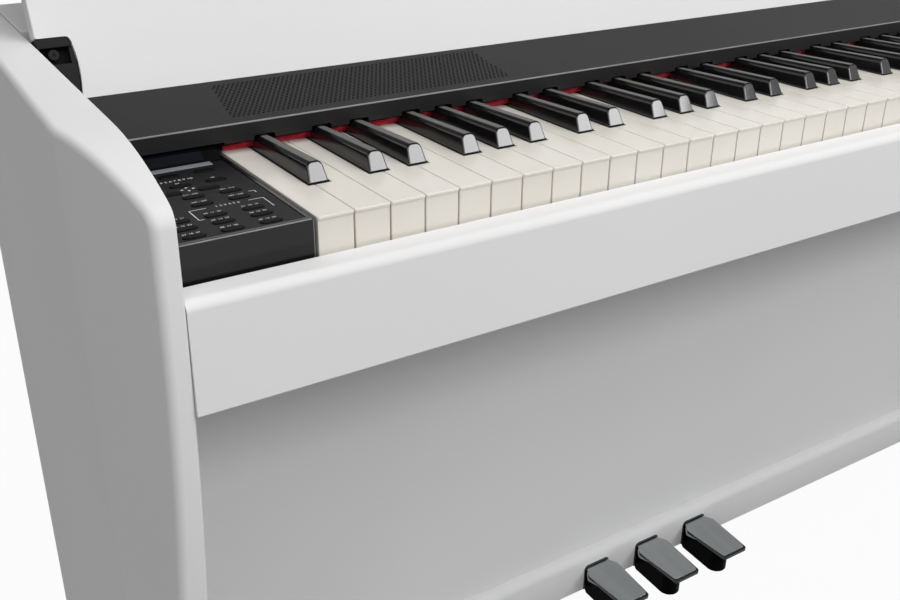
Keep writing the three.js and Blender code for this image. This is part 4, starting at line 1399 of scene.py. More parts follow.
@dataclass
class Keyboard:
    """The 88 keys as separate pieces, each on its own body or on its octave's."""

    pitch: float = 23.5
    whites: int = 52
    gap: float = 1.0
    cap_gap: float = 0.5
    depth: float = 24.0
    length: float = 228.0
    shoulder: float = 48.2
    cap: float = 2.2
    cap_rounding: float = 0.6
    under_lip: float = 0.8
    black_width: float = 13.5
    black_top: float = 10.0
    black_gap: float = 1.0
    black_front: float = 49.6
    black_rear: float = 133.0
    black_length: float = 246.0
    step_front: float = 197.0
    step_rear: float = 231.0
    step_height: float = 9.5
    black_rise: float = 12.0
    black_rear_rise: float = 8.8
    nose: float = 6.0
    foot: float = 1.0
    black_rounding: float = 3.3
    black_edge: float = 1.1
    cap_corner: float = 1.3
    cap_under: float = 0.5
    body_corner: float = 0.7
    overlap: float = 0.02
    seat: float = 0.2
    ledge: float = 0.3
    lever_top: float = 1.5
    lever_side: float = 0.4
    lever_front: float = 0.5
    single_octaves: int = 1
    last_octave: int = 7
    letters: str = "ABCDEFG"

    @property
    def left(self) -> float:
        """X of the keyboard's left end."""
        return -self.whites * self.pitch / 2

    def shift(self, white: int) -> float | None:
        """Finds how far the black key after a white one stands off their joint.

        Args:
            white: The white key's number, from 0 at the left.

        Returns:
            The distance to the right, or None where there is no black key.
        """
        shifts = {"A": 3.36, "C": -2.35, "D": 2.35, "F": -3.36, "G": 0.0}
        return shifts.get(self.letters[white % 7]) if white < self.whites - 1 else None

    def black_middle(self, white: int) -> float | None:
        """Returns X of the black key after a white one, or None."""
        shift = self.shift(white) if white >= 0 else None
        return None if shift is None else self.left + (white + 1) * self.pitch + shift

    def note(self, white: int, sharp: bool) -> tuple[str, str]:
        """Names a key.

        Args:
            white: The white key's number, from 0 at the left.
            sharp: Whether the black key after it is meant.

        Returns:
            The key's name and the CAD node that it belongs to.
        """
        octave = (white + 5) // 7
        name = self.letters[white % 7] + ("s" if sharp else "") + str(octave)
        if octave <= self.single_octaves:
            return name, f"key_{name}"
        return name, f"octave_{min(octave, self.last_octave)}_{'black' if sharp else 'white'}_keys"

    def plan(self, form: Form, white: int, level: float, front: float, gap: float) -> Outline:
        """Draws a white key from above, narrower between the black keys.

        Args:
            form: The form that it is drawn on.
            white: The key's number, from 0 at the left.
            level: The outline's height.
            front: Y of its front edge.
            gap: Gap to the next white key.

        Returns:
            The outline.
        """
        left = self.left + white * self.pitch + gap / 2
        right = left + self.pitch - gap
        half = self.black_width / 2 + self.black_gap
        before, after = self.black_middle(white - 1), self.black_middle(white)
        outline = Outline(form, Plane.XY, level, (left, front)).to((right, front))
        if after is not None:
            outline.to((right, self.shoulder), (after - half, self.shoulder), (after - half, self.length))
        else:
            outline.to((right, self.length))
        if before is not None:
            return outline.to((before + half, self.length), (before + half, self.shoulder), (left, self.shoulder))
        return outline.to((left, self.length))

    def white_key(self, white: int) -> None:
        """Builds one white key: a rounded cap over its body.

        Args:
            white: The key's number, from 0 at the left.
        """
        form = Form()
        form.prism(self.plan(form, white, KEY_TOP, -WHITE_LIP, self.cap_gap), (0, 0, -self.cap))
        form.bevel(form.lines(lambda co: co.y < -WHITE_LIP + NEAR, 2, 1), self.cap_corner, 3)
        form.bevel(form.edges(lambda co: co.z > KEY_TOP - NEAR, SQUARE), self.cap_rounding, 4)
        form.bevel(form.edges(lambda co: co.z < KEY_TOP - self.cap + NEAR and co.y < 1, SQUARE), self.cap_under, 2)
        body = Form()
        body_front = self.under_lip - WHITE_LIP
        body.prism(self.plan(body, white, KEY_TOP - self.cap + self.overlap, body_front, self.gap),
                   (0, 0, self.cap - self.depth - self.overlap))
        body.bevel(body.lines(lambda co: co.y < body_front + NEAR, 2, 1), self.body_corner, 2)
        form.take(body)
        name, node = self.note(white, False)
        form.piece(f"white_key_{name}", IVORY, node, node)

    def black_key(self, white: int) -> None:
        """Builds the black key after a white one: a cap with a sloping nose on its lever.

        Args:
            white: The white key's number, from 0 at the left.
        """
        form = Form()
        middle, base, top = self.black_middle(white), self.black_width / 2, self.black_top / 2
        flat = form.face(box_outline(form, Plane.XY, KEY_TOP - self.seat,
                                     (middle - base, self.black_front), (middle + base, self.black_rear)))
        form.extrude([flat], (0, 0, self.foot))
        upper = max(form.bm.faces, key=lambda f: f.calc_center_median().z)
        bmesh.ops.inset_region(form.bm, faces=[upper], thickness=self.ledge, depth=0.0, use_even_offset=True)
        raised = form.extrude([upper], (0, 0, self.black_rise - self.foot))
        for vert in raised:
            front = vert.co.y < (self.black_front + self.black_rear) / 2
            vert.co.x = middle + math.copysign(top, vert.co.x - middle)
            vert.co.y = self.black_front + self.nose if front else self.black_rear
            vert.co.z = KEY_TOP + (self.black_rise if front else self.black_rear_rise)
        foot_top = KEY_TOP + self.foot
        form.bevel(form.lines(lambda co: co.z > foot_top + 5, 1, 20), self.black_rounding, 6)
        front = max(form.bm.faces, key=lambda f: f.calc_area() * (
            f.calc_center_median().z > foot_top and f.calc_center_median().y < self.black_front + self.nose))
        form.bevel([e for e in front.edges if max(v.co.z for v in e.verts) > foot_top + 1], self.black_edge, 3)
        under, over, step = (KEY_TOP - drop for drop in (self.depth, self.lever_top, self.step_height))
        start, side = self.black_front + self.lever_front, middle - base + self.lever_side
        lever = Outline(form, Plane.YZ, side, (start, under)).to(
            (self.step_front, under), (self.step_front, step), (self.step_rear, step), (self.step_rear, under),
            (self.black_length, under), (self.black_length, over), (start, over))
        form.prism(lever, (2 * (middle - side), 0, 0))
        name, node = self.note(white, True)
        form.piece(f"black_key_{name}", EBONY, node, node, smooth=50)

    def build(self) -> None:
        """Builds every key."""
        for white in range(self.whites):
            self.white_key(white)
            if self.black_middle(white) is not None:
                self.black_key(white)


# ---------------- fascia


@dataclass
class Fascia:
    """Sloping black top behind the keys with its glossy skirt, grilles, felt and the lid's trough."""

    keyboard: Keyboard
    front: float = 127.0
    skirt_depth: float = 9.0
    rear: float = 216.6
    rise: float = 20.3
    slope: float = 0.06
    wall: float = 3.0
    trim: float = 0.9
    skirt_bottom: float = 7.6
    over_blocks: float = 9.0
    notch_rise: float = 10.6
    notch_gap: float = 0.7
    felt_rise: float = 3.9
    trough_rise: float = 12.0
    trough_rear: float = 268.7
    hole_pitch: float = 3.5
    row_pitch: float = 3.05
    hole: float = 1.05
    columns: int = 69
    rows: int = 25
    sheet_left: float = 4.0
    sheet_front: float = 134.6
    lean: float = 0.175
    holes_left: float = 9.0
    holes_right: float = 230.0
    seam: float = 0.04
    edge_rounding: float = 0.5
    skirt_inset: float = 0.2
    skirt_clearance: float = 0.02
    skirt_margin: float = 0.8
    notch_radius: float = 1.5
    rim_drop: float = 22.0
    hole_start: float = 0.35
    sheet: float = 1.4
    cloth_low: float = 4.4
    cloth_high: float = 3.6
    cloth_spread: tuple[float, float, float] = (2.0, 0.5, 0.0)
    felt_rounding: float = 0.5

    def height(self, y: float) -> float:
        """Returns the top's height at y."""
        return KEY_TOP + self.rise + (y - self.front) * self.slope

    def tilted(self, co: Vector) -> Vector:
        """Moves a point of a level plate to the sloping top."""
        return Vector((co.x, co.y, co.z + (co.y - self.front) * self.slope))

    def sheet_box(self, side: int) -> tuple[Point, Point]:
        """Places a perforated sheet.

        Args:
            side: -1 at the left, 1 at the right.

        Returns:
            Its lowest and its highest corner, seen from above.
        """
        width, depth = self.columns * self.hole_pitch, self.rows * self.row_pitch
        left = self.keyboard.left + self.sheet_left if side < 0 else -self.keyboard.left - self.sheet_left - width
        return (left, self.sheet_front), (left + width, self.sheet_front + depth)

    def top(self) -> None:
        """Builds the sloping top with two openings for the grilles, and a light grey strip on its front edge that is a
        painted highlight.
        """
        form = Form()
        level = KEY_TOP + self.rise - self.wall
        outlines = [box_outline(form, Plane.XY, level, (-BOARD_END, self.front + self.trim),
                                (BOARD_END, self.rear))]
        for side in SIDES:
            low, high = self.sheet_box(side)
            outlines.append(box_outline(form, Plane.XY, level, (low[0] - self.seam, low[1] - self.seam),
                                        (high[0] + self.seam, high[1] + self.seam)))
        form.extrude(form.sheet(outlines), (0, 0, self.wall))
        form.move(self.tilted)
        form.piece("fascia_top", PANEL_BLACK, "cabinet", "fascia")
        ridge = KEY_TOP + self.rise
        # A light grey strip along the fascia's front edge: painted highlight.
        edge = Form().box((-BOARD_END, self.front, ridge - self.trim), (BOARD_END, self.front + self.trim, ridge))
        edge.bevel(edge.edges(lambda co: co.y < self.front + NEAR and co.z > ridge - NEAR, SQUARE),
                   self.edge_rounding, 3)
        edge.piece("fascia_painted_highlight", PAINTED_EDGE_HIGHLIGHT, "cabinet", "fascia")

    def skirt(self) -> None:
        """Builds the glossy skirt, notched where the black keys pass under it."""
        form = Form()
        top, bottom = KEY_TOP + self.rise - self.trim - self.skirt_clearance, KEY_TOP + self.skirt_bottom
        half, radius = self.keyboard.black_width / 2 + self.notch_gap, self.notch_radius
        over, ridge = KEY_TOP + self.over_blocks, KEY_TOP + self.notch_rise
        ends = self.skirt_margin - self.keyboard.left
        outline = Outline(form, Plane.XZ, self.front + self.skirt_inset, (-BOARD_END, top))
        outline.to((-BOARD_END, over), (-ends, over), (-ends, bottom))
        for white in range(self.keyboard.whites):
            middle = self.keyboard.black_middle(white)
            if middle is not None:
                outline.to((middle - half, bottom)).arch(middle, half, ridge, radius, 3).to((middle + half, bottom))
        outline.to((ends, bottom), (ends, over), (BOARD_END, over), (BOARD_END, top))
        form.prism(outline, (0, self.skirt_depth, 0))
        form.piece("fascia_skirt", SKIRT_BLACK, "cabinet", "fascia", weighted=False)

    def trough(self) -> None:
        """Builds the trough that the lid's tail swings in."""
        form = Form()
        floor, rear = KEY_TOP + self.trough_rise, self.trough_rear
        rim = TopLine().height(rear) - self.rim_drop
        outline = Outline(form, Plane.YZ, -BOARD_END, (self.rear, self.height(self.rear) - self.wall))
        outline.to((self.rear, floor), (rear - self.wall, floor), (rear - self.wall, rim), (rear, rim),
                   (rear, floor - self.wall), (self.rear - self.wall, floor - self.wall),
                   (self.rear - self.wall, self.height(self.rear) - self.wall - self.skirt_inset))
        form.prism(outline, (2 * BOARD_END, 0, 0))
        form.piece("fascia_trough", PANEL_BLACK, "cabinet", "fascia")

    def grille(self, side: int) -> None:
        """Builds one perforated sheet and the cloth behind it.

        Args:
            side: -1 at the left, 1 at the right.
        """
        form = Form()
        level = KEY_TOP + self.rise
        low, high = (Vector((*corner, level)) for corner in self.sheet_box(side))
        size = high - low + Vector((0, 0, 1))
        bmesh.ops.create_grid(form.bm, x_segments=2 * self.columns, y_segments=2 * self.rows, size=0.5)
        half_x, half_y = size.x / (2 * self.columns), size.y / (2 * self.rows)
        bmesh.ops.scale(form.bm, vec=size, verts=form.bm.verts)
        bmesh.ops.translate(form.bm, vec=(low + high) / 2, verts=form.bm.verts)
        centres = []
        for vert in form.bm.verts:
            column, row = round((vert.co.x - low.x) / half_x), round((vert.co.y - low.y) / half_y)
            if row % 2 and 0 < column < 2 * self.columns and (column + row // 2) % 2:
                x = vert.co.x - self.keyboard.left if side < 0 else -self.keyboard.left - vert.co.x
                shift = self.lean * (vert.co.y - low.y)
                if self.holes_left + shift < x < self.holes_right + shift and 1 < row < 2 * self.rows - 1:
                    centres.append(vert)
        bmesh.ops.dissolve_verts(form.bm, verts=centres)
        cells = [f for f in form.bm.faces if len(f.verts) == 8]
        bmesh.ops.inset_individual(form.bm, faces=cells, thickness=self.hole_start, depth=0.0, use_even_offset=True)
        for cell in cells:
            middle = cell.calc_center_bounds()
            for vert in cell.verts:
                vert.co = middle + (vert.co - middle).normalized() * self.hole
        bmesh.ops.delete(form.bm, geom=cells, context="FACES")
        bmesh.ops.solidify(form.bm, geom=list(form.bm.faces), thickness=self.sheet)
        top = max(v.co.z for v in form.bm.verts)
        bmesh.ops.translate(form.bm, vec=(0, 0, level - top), verts=form.bm.verts)
        form.move(self.tilted)
        word = SIDES[side]
        form.piece(f"speaker_grille_{word}_perforated", GRILLE_BLACK, "cabinet", f"speaker_grille_{word}",
                   weighted=False, smooth=30)
        cloth, spread = Form(), Vector(self.cloth_spread)
        cloth.box(low - spread - Vector((0, 0, self.cloth_low)), high + spread - Vector((0, 0, self.cloth_high)))
        cloth.move(self.tilted).piece(f"speaker_cloth_{word}", SPEAKER_CLOTH, "cabinet")

    def felt(self) -> None:
        """Builds the red felt strip over the keys' rear ends."""
        low, high = bench_box("felt_strip")
        high.z = KEY_TOP + self.felt_rise
        Form().box(low, high, self.felt_rounding).piece("felt_strip_red", FELT, "cabinet", "felt_strip")

    def build(self) -> None:
        """Builds the whole fascia."""
        self.top()
        self.skirt()
        self.trough()
        for side in SIDES:
            self.grille(side)
        self.felt()


# ---------------- control block


class Group(Enum):
    """The two groups of buttons, by the CAD node and body that they belong to."""

    CURSOR = "cursor_buttons"
    SOUND = "sound_buttons"


@dataclass
class ControlBlock:
    """Moulding at the keyboard's left end: housing, panel, buttons, print and display."""

    keyboard: Keyboard
    rim: float = 3.4
    recess: float = 2.5
    button_foot: float = 1.4
    groove: float = 0.7
    rounding: float = 1.3
    # Radius of the painted highlight rods on the housing's edges, and how far in from the edges they lie.
    edge: float = 0.5
    highlight_inset: float = 0.6
    length: float = 13.0
    depth: float = 5.5
    rise: float = 0.5
    slack: float = 0.35
    columns: tuple[float, float, float] = (-23.5, -45.8, -67.2)
    display_width: float = 56.0
    display_right: float = 6.2
    display_front: float = 121.5
    display_slope: float = 131.0
    display_rear: float = 133.0
    display_rise: float = 8.4
    display_lip: float = 0.6
    display_seat: float = 0.1
    bezel_margin: float = 8.0
    bezel_rounding: float = 0.5
    glass_margins: Point = (6.0, 11.0)
    glass_foot: float = 1.0
    glass_thickness: float = 0.25
    sill_front: float = 115.2
    sill_rise: float = 0.35
    button_rounding: float = 0.7
    sunk: float = 0.15
    print_height: float = 0.04
    stroke: float = 0.5
    frame_lines: tuple[tuple[Point, ...], ...] = (
        ((-56.5, 28.0), (-56.5, 44.0)), ((-56.5, 44.0), (-46.5, 44.0)), ((-21.0, 44.0), (-12.0, 44.0)),
        ((-12.0, 44.0), (-12.0, 28.6)), ((-56.5, 28.0), (-53.5, 28.0)), ((-15.0, 58.0), (-11.5, 58.0)),
        ((-11.5, 58.0), (-11.5, 54.5)))
    arrow: tuple[Point, ...] = ((1.3, 0.0), (-0.7, 1.0), (-0.7, -1.0))
    arrow_places: tuple[Point, ...] = ((-40.5, 79.6), (-44.0, 82.4), (-47.5, 79.6), (-44.0, 76.8))

    def spots(self, group: Group) -> list[Point]:
        """Places a group's buttons.

        Args:
            group: The group.

        Returns:
            The middles of its buttons, from above.
        """
        a, b, c = self.columns
        if group is Group.CURSOR:
            own = [(a, 106.8), (b, 106.8), (a, 87.0), (b, 87.0), (-32.6, 75.4), (-55.6, 75.4), (a, 64.2),
                   (b, 65.0), (a, 51.2), (b, 51.2)]
        else:
            own = [(x, y) for y in (31.3, 19.6, 7.0) for x in (a, b, c)]
        return [(self.keyboard.left + x, y) for x, y in own]

    def housing(self, node: str, side: int) -> tuple[Vector, Vector]:
        """Builds a block's glossy housing with a recess in its top, and two light grey rods on its edges that are
        painted highlights.

        Args:
            node: The CAD node that it stands for.
            side: -1 at the left end, 1 at the right.

        Returns:
            Lowest and highest corner of the recess's floor.
        """
        low, high = bench_box(node)
        form = Form().box(low, high)
        form.bevel(form.edges(lambda co: co.z > high.z - NEAR or co.y < low.y + NEAR, SQUARE), self.rounding, 4)
        upper = max(form.bm.faces, key=lambda f: f.calc_center_median().z + f.calc_area() / 1e6)
        bmesh.ops.inset_region(form.bm, faces=[upper], thickness=self.rim - self.rounding, use_even_offset=True)
        form.extrude([upper], (0, 0, -self.recess))
        form.piece(f"{node}_housing", GLOSS_BLACK, "cabinet", node)
        # Light grey rods along the top-front edge and the inner upright edge: painted highlights.
        edge = Form()
        inner = (high.x if side < 0 else low.x) + side * self.highlight_inset
        front, top = low.y + self.highlight_inset, high.z - self.highlight_inset
        edge.rod(((low.x + high.x) / 2, front, top), self.edge, high.x - low.x - 2 * self.rounding, "X", 10)
        edge.rod((inner, front, (low.z + high.z) / 2), self.edge, high.z - low.z - 2 * self.rounding, "Z", 10)
        edge.piece(f"{node}_edges", PAINTED_EDGE_HIGHLIGHT, "cabinet")
        return low + Vector((self.rim, self.rim, 0)), high - Vector((self.rim, self.rim, self.recess))

    def panel(self, low: Vector, high: Vector, name: str, spots: Iterable[Point]) -> None:
        """Builds a matte panel in a housing's recess.

        Args:
            low: Lowest corner of the recess.
            high: Highest corner of the recess's floor.
            name: The piece's name.
            spots: Middles of the button holes in it.
        """
        form = Form()
        whole = box_outline(form, Plane.XY, high.z, (low.x + self.groove, low.y + self.groove),
                            (high.x - self.groove, high.y - self.groove))
        holes = [stadium(form, high.z, spot, self.length + 2 * self.slack, self.depth + 2 * self.slack)
                 for spot in spots]
        form.extrude(form.sheet([whole, *holes]), (0, 0, self.recess - self.sunk))
        form.piece(name, CONTROL_BLACK, "cabinet", weighted=False)

    def buttons(self, group: Group) -> None:
        """Builds one group's rubber buttons.

        Args:
            group: The group.
        """
        top, base = KEY_TOP + self.rise, KEY_TOP - self.button_foot
        for index, spot in enumerate(self.spots(group), 1):
            form = Form()
            form.prism(stadium(form, base, spot, self.length, self.depth), (0, 0, top - base))
            form.bevel(form.edges(lambda co: co.z > top - NEAR, SQUARE), self.button_rounding, 3)
            form.piece(f"{group.value[:-1]}_{index:02d}", RUBBER, group.value, group.value)

    def marks(self, form: Form, level: float) -> None:
        """Prints the frame's lines and the four arrows.

        Args:
            form: The print's form.
            level: Height of the panel.
        """
        left = Vector((self.keyboard.left, 0, 0))
        for ends in self.frame_lines:
            first, last = (Vector((*end, 0)) + left for end in ends)
            across = (last - first).normalized().cross(Vector((0, 0, 1))) * self.stroke / 2
            corners = [(first - across).xy[:], (last - across).xy[:], (last + across).xy[:], (first + across).xy[:]]
            form.prism(Outline(form, Plane.XY, level, corners[0]).to(*corners[1:]), (0, 0, self.print_height))
        for quarter, place in enumerate(self.arrow_places):
            turn = Matrix.Rotation(quarter * math.pi / 2, 4, "Z")
            tip = [(turn @ Vector((*p, 0)) + Vector((*place, 0)) + left).xy[:] for p in self.arrow]
            form.prism(Outline(form, Plane.XY, level, tip[0]).to(*tip[1:]), (0, 0, self.print_height))

    def lettering(self) -> None:
        """Prints numbers, arrows and a frame beside the buttons."""
        form, level, left = Form(), KEY_TOP - self.sunk, self.keyboard.left
        self.marks(form, level)
        cursor, sound = self.spots(Group.CURSOR), self.spots(Group.SOUND)
        labels = [(f"{i:02d}", (x, y + 5.3), 2.6) for i, (x, y) in enumerate(cursor[2:4], 3)]
        labels += [(f"{16 * i + 1:03d} - {16 * i + 16:03d}", (x, y + 5.0), 2.3) for i, (x, y) in enumerate(cursor[6:])]
        labels += [(f"{i:02d}  {i + 9:02d}  {i + 18:02d}", (x, y + 4.9), 2.5) for i, (x, y) in enumerate(sound, 1)]
        labels += [("0 1 2 3 4 5 6 7 8 9 10", (left - 50.0, 97.6), 3.6), ("1 2 3 4 5 6", (left - 33.7, 44.0), 3.4)]
        for text, place, size in labels:
            self.number(form, text, place, size, level)
        form.piece("control_print", PRINT, "cabinet", weighted=False)

    def number(self, form: Form, text: str, place: Point, size: float, level: float) -> None:
        """Prints figures.

        Args:
            form: The print's form.
            text: The figures.
            place: Their middle.
            size: Their size.
            level: Height of the panel.
        """
        curve = bpy.data.curves.new("figures", "FONT")
        curve.body, curve.size, curve.align_x, curve.align_y = text, size, "CENTER", "CENTER"
        curve.resolution_u, curve.extrude = 2, self.print_height / 2
        holder = placed("figures", curve)
        mesh = bpy.data.meshes.new_from_object(holder)
        mesh.transform(Matrix.Translation((*place, level + self.print_height / 2)))
        form.bm.from_mesh(mesh)
        bpy.data.objects.remove(holder)
        bpy.data.meshes.remove(mesh)
        bpy.data.curves.remove(curve)

    def display(self) -> None:
        """Builds the sloping display: its bezel, glass and sill."""
        right = self.keyboard.left - self.display_right
        left = right - self.display_width
        start, bottom, lip = left - self.bezel_margin, KEY_TOP - self.display_seat, KEY_TOP + self.display_lip
        ridge, front = KEY_TOP + self.display_rise, self.display_front
        bezel = Form()
        outline = Outline(bezel, Plane.YZ, start, (front, bottom))
        outline.to((front, lip), (self.display_slope, ridge), (self.display_rear, ridge), (self.display_rear, bottom))
        bezel.prism(outline, (right - start, 0, 0))
        bezel.bevel(bezel.edges(lambda co: co.z > lip - self.display_seat, sharp=25), self.bezel_rounding, 2)
        bezel.piece("display_bezel", KEEL_BLACK, "cabinet", "display_window")
        run, rise = self.display_slope - front, ridge - lip
        length = math.hypot(run, rise) - self.display_lip
        glass = Form().box((left - self.glass_margins[0], self.glass_foot, 0.0),
                           (right - self.glass_margins[1], length, self.glass_thickness), 0.1, 1)
        glass.transform(Matrix.Translation((0, front, lip)) @ Matrix.Rotation(math.atan2(rise, run), 4, "X"))
        glass.piece("display_glass", GLASS, "cabinet")
        sill = Form().box((start, self.sill_front, KEY_TOP - self.sunk),
                          (right - self.bezel_margin, front - self.display_seat, KEY_TOP + self.sill_rise), 0.2)
        sill.piece("display_sill", SILL_GREY, "cabinet")

    def build(self) -> None:
        """Builds the control block and the plain block at the other end."""
        low, high = self.housing("control_block", -1)
        self.panel(low, high, "control_panel", self.spots(Group.CURSOR) + self.spots(Group.SOUND))
        for group in Group:
            self.buttons(group)
        self.lettering()
        self.display()
        low, high = self.housing("cheek_block_right", 1)
        self.panel(low, high, "cheek_panel_right", [])


# ---------------- pedals


@dataclass
class Pedals:
    """The pedal rail with three chrome pedals in black collars."""

    pitch: float = 86.5
    rail_front: float = 313.0
    rail_bottom: float = 28.5
    rail_top: float = 82.0
    rail_wall: float = 12.0
    rail_rear: float = 350.0
    rail_radius: float = 10.0
    collar: float = 40.0
    collar_wall: float = 2.6
    collar_top: float = 66.0
    collar_radius: float = 6.0
    collar_front: float = 312.5
    collar_rear: float = 328.0
    keel_width: float = 28.5
    keel_front: float = 251.5
    keel_nose: float = 16.5
    keel_rear: float = 19.5
    plate_top: float = 59.0
    plate_thickness: float = 4.4
    plate_front: float = 234.0
    plate_rear: float = 319.0
    plate: float = 40.6
    neck: float = 34.2
    shoulder: float = 48.0
    shoulder_y: float = 296.0
    drop: float = 8.0
    skin: float = 0.35
    lip: float = 2.8
    climb: float = 0.045
    axle_y: float = 337.0
    axle_z: float = 50.0
    hub: float = 9.0
    opening_gap: float = 0.2
    foot_rounding: float = 1.0
    collar_rounding: float = 0.5
    strut_top: float = 69.7
    strut: float = 2.7
    ear: float = 3.0
    ear_reach: float = 8.0
    plate_gap: float = 0.3
    keel_rounding: float = 2.6
    shoulder_half: float = 4.0
    corner_radii: tuple[float, float, float] = (4.0, 7.0, 5.0)
    flange_seat: float = 0.35
    flange_step: float = 1.5
    flange_thickness: float = 2.0
    flange_flare: Point = (0.08, 0.5)
    rim: float = 0.7

    @property
    def places(self) -> dict[str, float]:
        """X of the three pedals by name."""
        return {"left": -self.pitch, "middle": 0.0, "right": self.pitch}

    def rail(self) -> None:
        """Builds the rail with its three openings."""
        form = Form()
        half, top = self.collar / 2 + self.opening_gap, self.collar_top + self.opening_gap
        outline = Outline(form, Plane.XZ, self.rail_front, (-BOARD_END, self.rail_top))
        outline.to((-BOARD_END, self.rail_bottom))
        for x in self.places.values():
            outline.to((x - half, self.rail_bottom)).arch(x, half, top, self.collar_radius, 5)
            outline.to((x + half, self.rail_bottom))
        outline.to((BOARD_END, self.rail_bottom), (BOARD_END, self.rail_top))
        form.prism(outline, (0, self.rail_wall, 0))
        face = self.rail_front + NEAR
        form.bevel(form.edges(lambda co: co.z > self.rail_top - NEAR and co.y < face, SQUARE), self.rail_radius, 8)
        form.bevel(form.edges(lambda co: co.z < self.rail_bottom + NEAR and co.y < face, SQUARE), self.foot_rounding, 2)
        form.box((-BOARD_END, self.rail_front + self.rail_wall, self.rail_top - self.rail_wall),
                 (BOARD_END, self.rail_rear, self.rail_top))
        form.piece("pedal_rail_lacquered", LACQUER, "cabinet", "pedal_rail", weighted=False)

    def frame(self) -> None:
        """Builds the black collars and the ears that carry the axle."""
        form = Form()
        half, wall, radius = self.collar / 2, self.collar_wall, self.collar_radius
        top, bottom = self.collar_top, self.rail_bottom
        for x in self.places.values():
            outline = Outline(form, Plane.XZ, self.collar_front, (x - half, bottom)).arch(x, half, top, radius, 5)
            outline.to((x + half, bottom), (x + half - wall, bottom), (x + half - wall, top - radius))
            outline.arc((x + half - radius, top - radius), 90, 4).to((x - half + radius, top - wall))
            outline.arc((x - half + radius, top - radius), 90, 4).to((x - half + wall, bottom))
            form.prism(outline, (0, self.collar_rear - self.collar_front, 0))
            for side in SIDES:
                ear = x + side * (half + 1)
                form.box((ear - self.ear, self.collar_rear - self.strut, self.axle_z - self.hub),
                         (ear + self.ear, self.axle_y + self.ear_reach, self.strut_top), 0.6)
        form.bevel(form.edges(lambda co: co.y < self.collar_front + NEAR, SQUARE), self.collar_rounding, 2)
        reach = self.pitch + half + self.ear + 1
        form.box((-reach, self.collar_rear - self.strut, top - wall), (reach, self.collar_rear, self.strut_top), 0.4, 1)
        form.piece("pedal_collars", BLACK_PLASTIC, "cabinet", "pedal_frame")

    def lift(self, y: float) -> float:
        """Returns how far a plate has climbed above its front edge at y."""
        return (y - self.plate_front) * self.climb

    def climbing(self, co: Vector) -> Vector:
        """Moves a point of a level plate up to the climbing one."""
        return Vector((co.x, co.y, co.z + self.lift(co.y)))

    def keel(self, name: str, x: float) -> None:
        """Builds one black lever with a half-round nose and its hub.

        Args:
            name: The pedal's name.
            x: Its middle.
        """
        form = Form()
        half, top = self.keel_width / 2, self.plate_top - self.plate_thickness - self.plate_gap
        outline = Outline(form, Plane.YZ, x - half, (self.keel_front, top + self.lift(self.keel_front)))
        outline.to((self.keel_front, self.keel_nose), (self.keel_front + half, self.keel_nose),
                   (self.rail_front, self.keel_rear), (self.axle_y - 6, self.axle_z - self.hub),
                   (self.axle_y, self.axle_z - self.hub))
        outline.arc((self.axle_y, self.axle_z), 180, 10).to((self.plate_rear, top + self.lift(self.plate_rear)))
        form.prism(outline, (self.keel_width, 0, 0))
        form.bevel(form.lines(lambda co: co.y < self.keel_front + NEAR, 2, 5), half - 0.05, 9)
        form.bevel(form.edges(lambda co: co.z < self.keel_rear + 0.5 and co.y < self.rail_front + 1, sharp=50),
                   self.keel_rounding, 3)
        form.piece(f"pedal_keel_{name}", KEEL_BLACK, f"pedal_{name}", f"pedal_lever_{name}", smooth=30)

    def footprint(self, form: Form, x: float, level: float, inset: float) -> Outline:
        """Draws a pedal plate from above: a wide front, shoulders and a neck into the collar.

        Args:
            form: The form that it is drawn on.
            x: The pedal's middle.
            level: Its height.
            inset: How far inside the plate's edge it runs.

        Returns:
            The outline.
        """
        neck, wide, shoulder = self.neck / 2, self.plate / 2 - inset / 3, self.shoulder / 2
        right = [*zip((wide, shoulder, shoulder), self.stations(inset)), (neck, self.collar_front - 1),
                 (neck, self.plate_rear)]
        points = [(x + px, y) for px, y in right] + [(x - px, y) for px, y in reversed(right)]
        return Outline(form, Plane.XY, level, points[0]).to(*points[1:])

    def stations(self, inset: float) -> tuple[float, float, float]:
        """Returns Y of the plate's front corners and of both ends of its shoulders."""
        return (self.plate_front + inset, self.shoulder_y - self.shoulder_half, self.shoulder_y + self.shoulder_half)

    def plan_corners(self, form: Form, inset: float) -> None:
        """Rounds the upright corners of a plate's layer.

        Args:
            form: The layer.
            inset: How far inside the plate's edge it runs.
        """
        for y, radius in zip(self.stations(inset), self.corner_radii):
            form.bevel(form.lines(lambda co: abs(co.y - y) < NEAR, 2, NEAR), radius, 5)

    def flange(self, x: float, side: int) -> Form:
        """Builds the chrome cheek that turns down from a plate's shoulder.

        Args:
            x: Its outer face.
            side: -1 at the plate's left, 1 at its right.

        Returns:
            The cheek's form.
        """
        form = Form()
        rear, top, step = self.shoulder_y + 10, self.plate_top - self.flange_seat, self.flange_step
        outline = Outline(form, Plane.YZ, x, (rear, top)).to((rear, top - step))
        outline.arc((rear - self.drop + step, top - step), -90, 6)
        outline.to((self.shoulder_y - 10, top - 3 * step), (self.shoulder_y - 16, top - 0.2))
        form.prism(outline, (-side * self.flange_thickness, 0, 0))
        ahead, behind = self.flange_flare
        return form.move(lambda co: Vector((co.x - side * max(0.0, self.shoulder_y - 6 - co.y) * ahead
                                            - side * max(0.0, co.y - self.shoulder_y - 5) * behind, co.y, co.z)))

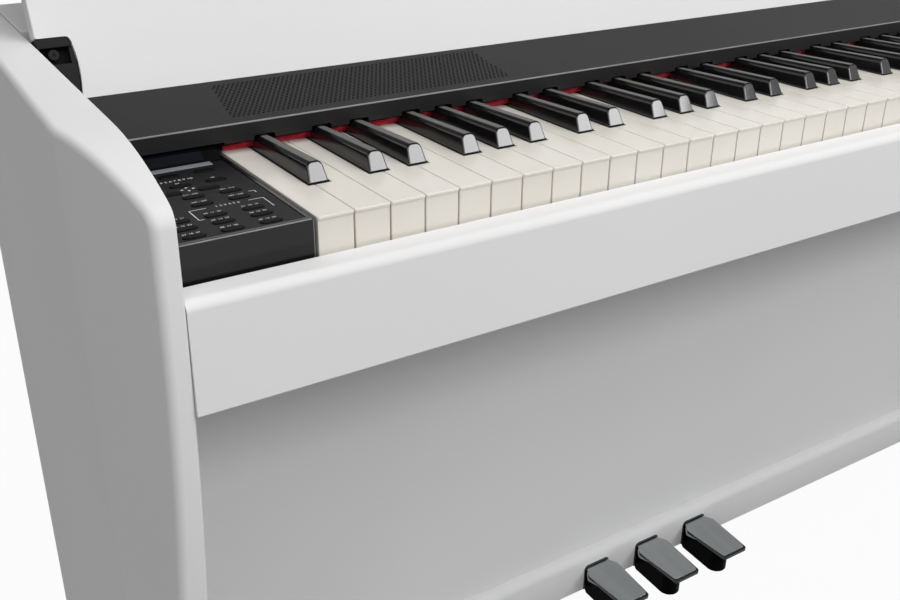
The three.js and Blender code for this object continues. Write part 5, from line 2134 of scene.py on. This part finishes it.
    def plates(self, name: str, x: float) -> None:
        """Builds one pedal's black rounded tray, the chrome plate on it and its turned-down shoulders.

        Args:
            name: The pedal's name.
            x: Its middle.
        """
        body, node = f"pedal_{name}", f"pedal_plate_{name}"
        under = self.plate_top - self.plate_thickness
        tray = Form()
        tray.prism(self.footprint(tray, x, under, 0.0), (0, 0, self.plate_thickness - self.skin))
        self.plan_corners(tray, 0.0)
        tray.bevel(tray.edges(lambda co: co.z > self.plate_top - self.skin - NEAR, SQUARE), self.lip, 5)
        tray.bevel(tray.edges(lambda co: co.z < under + NEAR, SQUARE), 0.6, 2)
        tray.move(self.climbing)
        tray.piece(f"pedal_tray_{name}", GLOSS_BLACK, body, node, smooth=50)

        form, inset, depth = Form(), self.lip + self.rim, self.skin + self.plate_gap
        form.prism(self.footprint(form, x, self.plate_top - depth, inset), (0, 0, depth))
        self.plan_corners(form, inset)
        form.bevel(form.edges(lambda co: co.z > self.plate_top - NEAR, SQUARE), self.skin, 3)
        for side in SIDES:
            form.take(self.flange(x + side * (self.shoulder / 2 + 0.05), side))
        form.move(self.climbing)
        form.piece(f"pedal_plate_{name}_chromed", CHROME, body, node, smooth=35)

    def build(self) -> None:
        """Builds the rail, the collars and the three pedals."""
        self.rail()
        self.frame()
        for name, x in self.places.items():
            self.keel(name, x)
            self.plates(name, x)


# ---------------- inside


@dataclass
class Inside:
    """Finishes for the CAD pieces that are shown as they are."""

    board_thickness: float = 9.0

    def build(self) -> None:
        """Gives each carried-over piece its finish."""
        board_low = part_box("main_board")[0].z
        finishes = {
            "key_bed": LACQUER,
            "key_chassis": STEEL,
            "pedal_axle": STEEL,
            "main_board": LayeredFinish("circuit board", "circuit_board", tone(26, 82, 50), tone(90, 120, 70),
                                        smooth=0.3, rough=0.45, level=board_low + self.board_thickness * MM,
                                        upper=tone(24, 24, 26)),
        }
        for word in SIDES.values():
            low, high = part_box(f"speaker_{word}")
            finishes[f"speaker_{word}"] = RingedFinish(
                f"speaker paper {word}", "black_plastic", tone(22, 22, 23), tone(30, 30, 31), smooth=0.55, rough=0.75,
                relief=0.0004, strength=0.5, centre=tuple((low + high) / 2), ridges=70.0)
        for node, finish in finishes.items():
            slots = frame["nodes"][node].data.materials
            slots.clear()
            slots.append(finish.material())
            log.info("%s: finished in %s", node, finish.name)


def main() -> None:
    """Builds the studio and the piano, piece by piece."""
    logging.basicConfig(level=logging.INFO, format="%(name)s: %(message)s")
    top = TopLine()
    keyboard = Keyboard()
    for assembly in (Studio(), SidePanels(top), Boards(top), SocketPanel(), Lid(top), keyboard, Fascia(keyboard),
                     ControlBlock(keyboard), Pedals(), Inside()):
        assembly.build()
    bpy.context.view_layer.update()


if __name__ == "__main__":
    main()
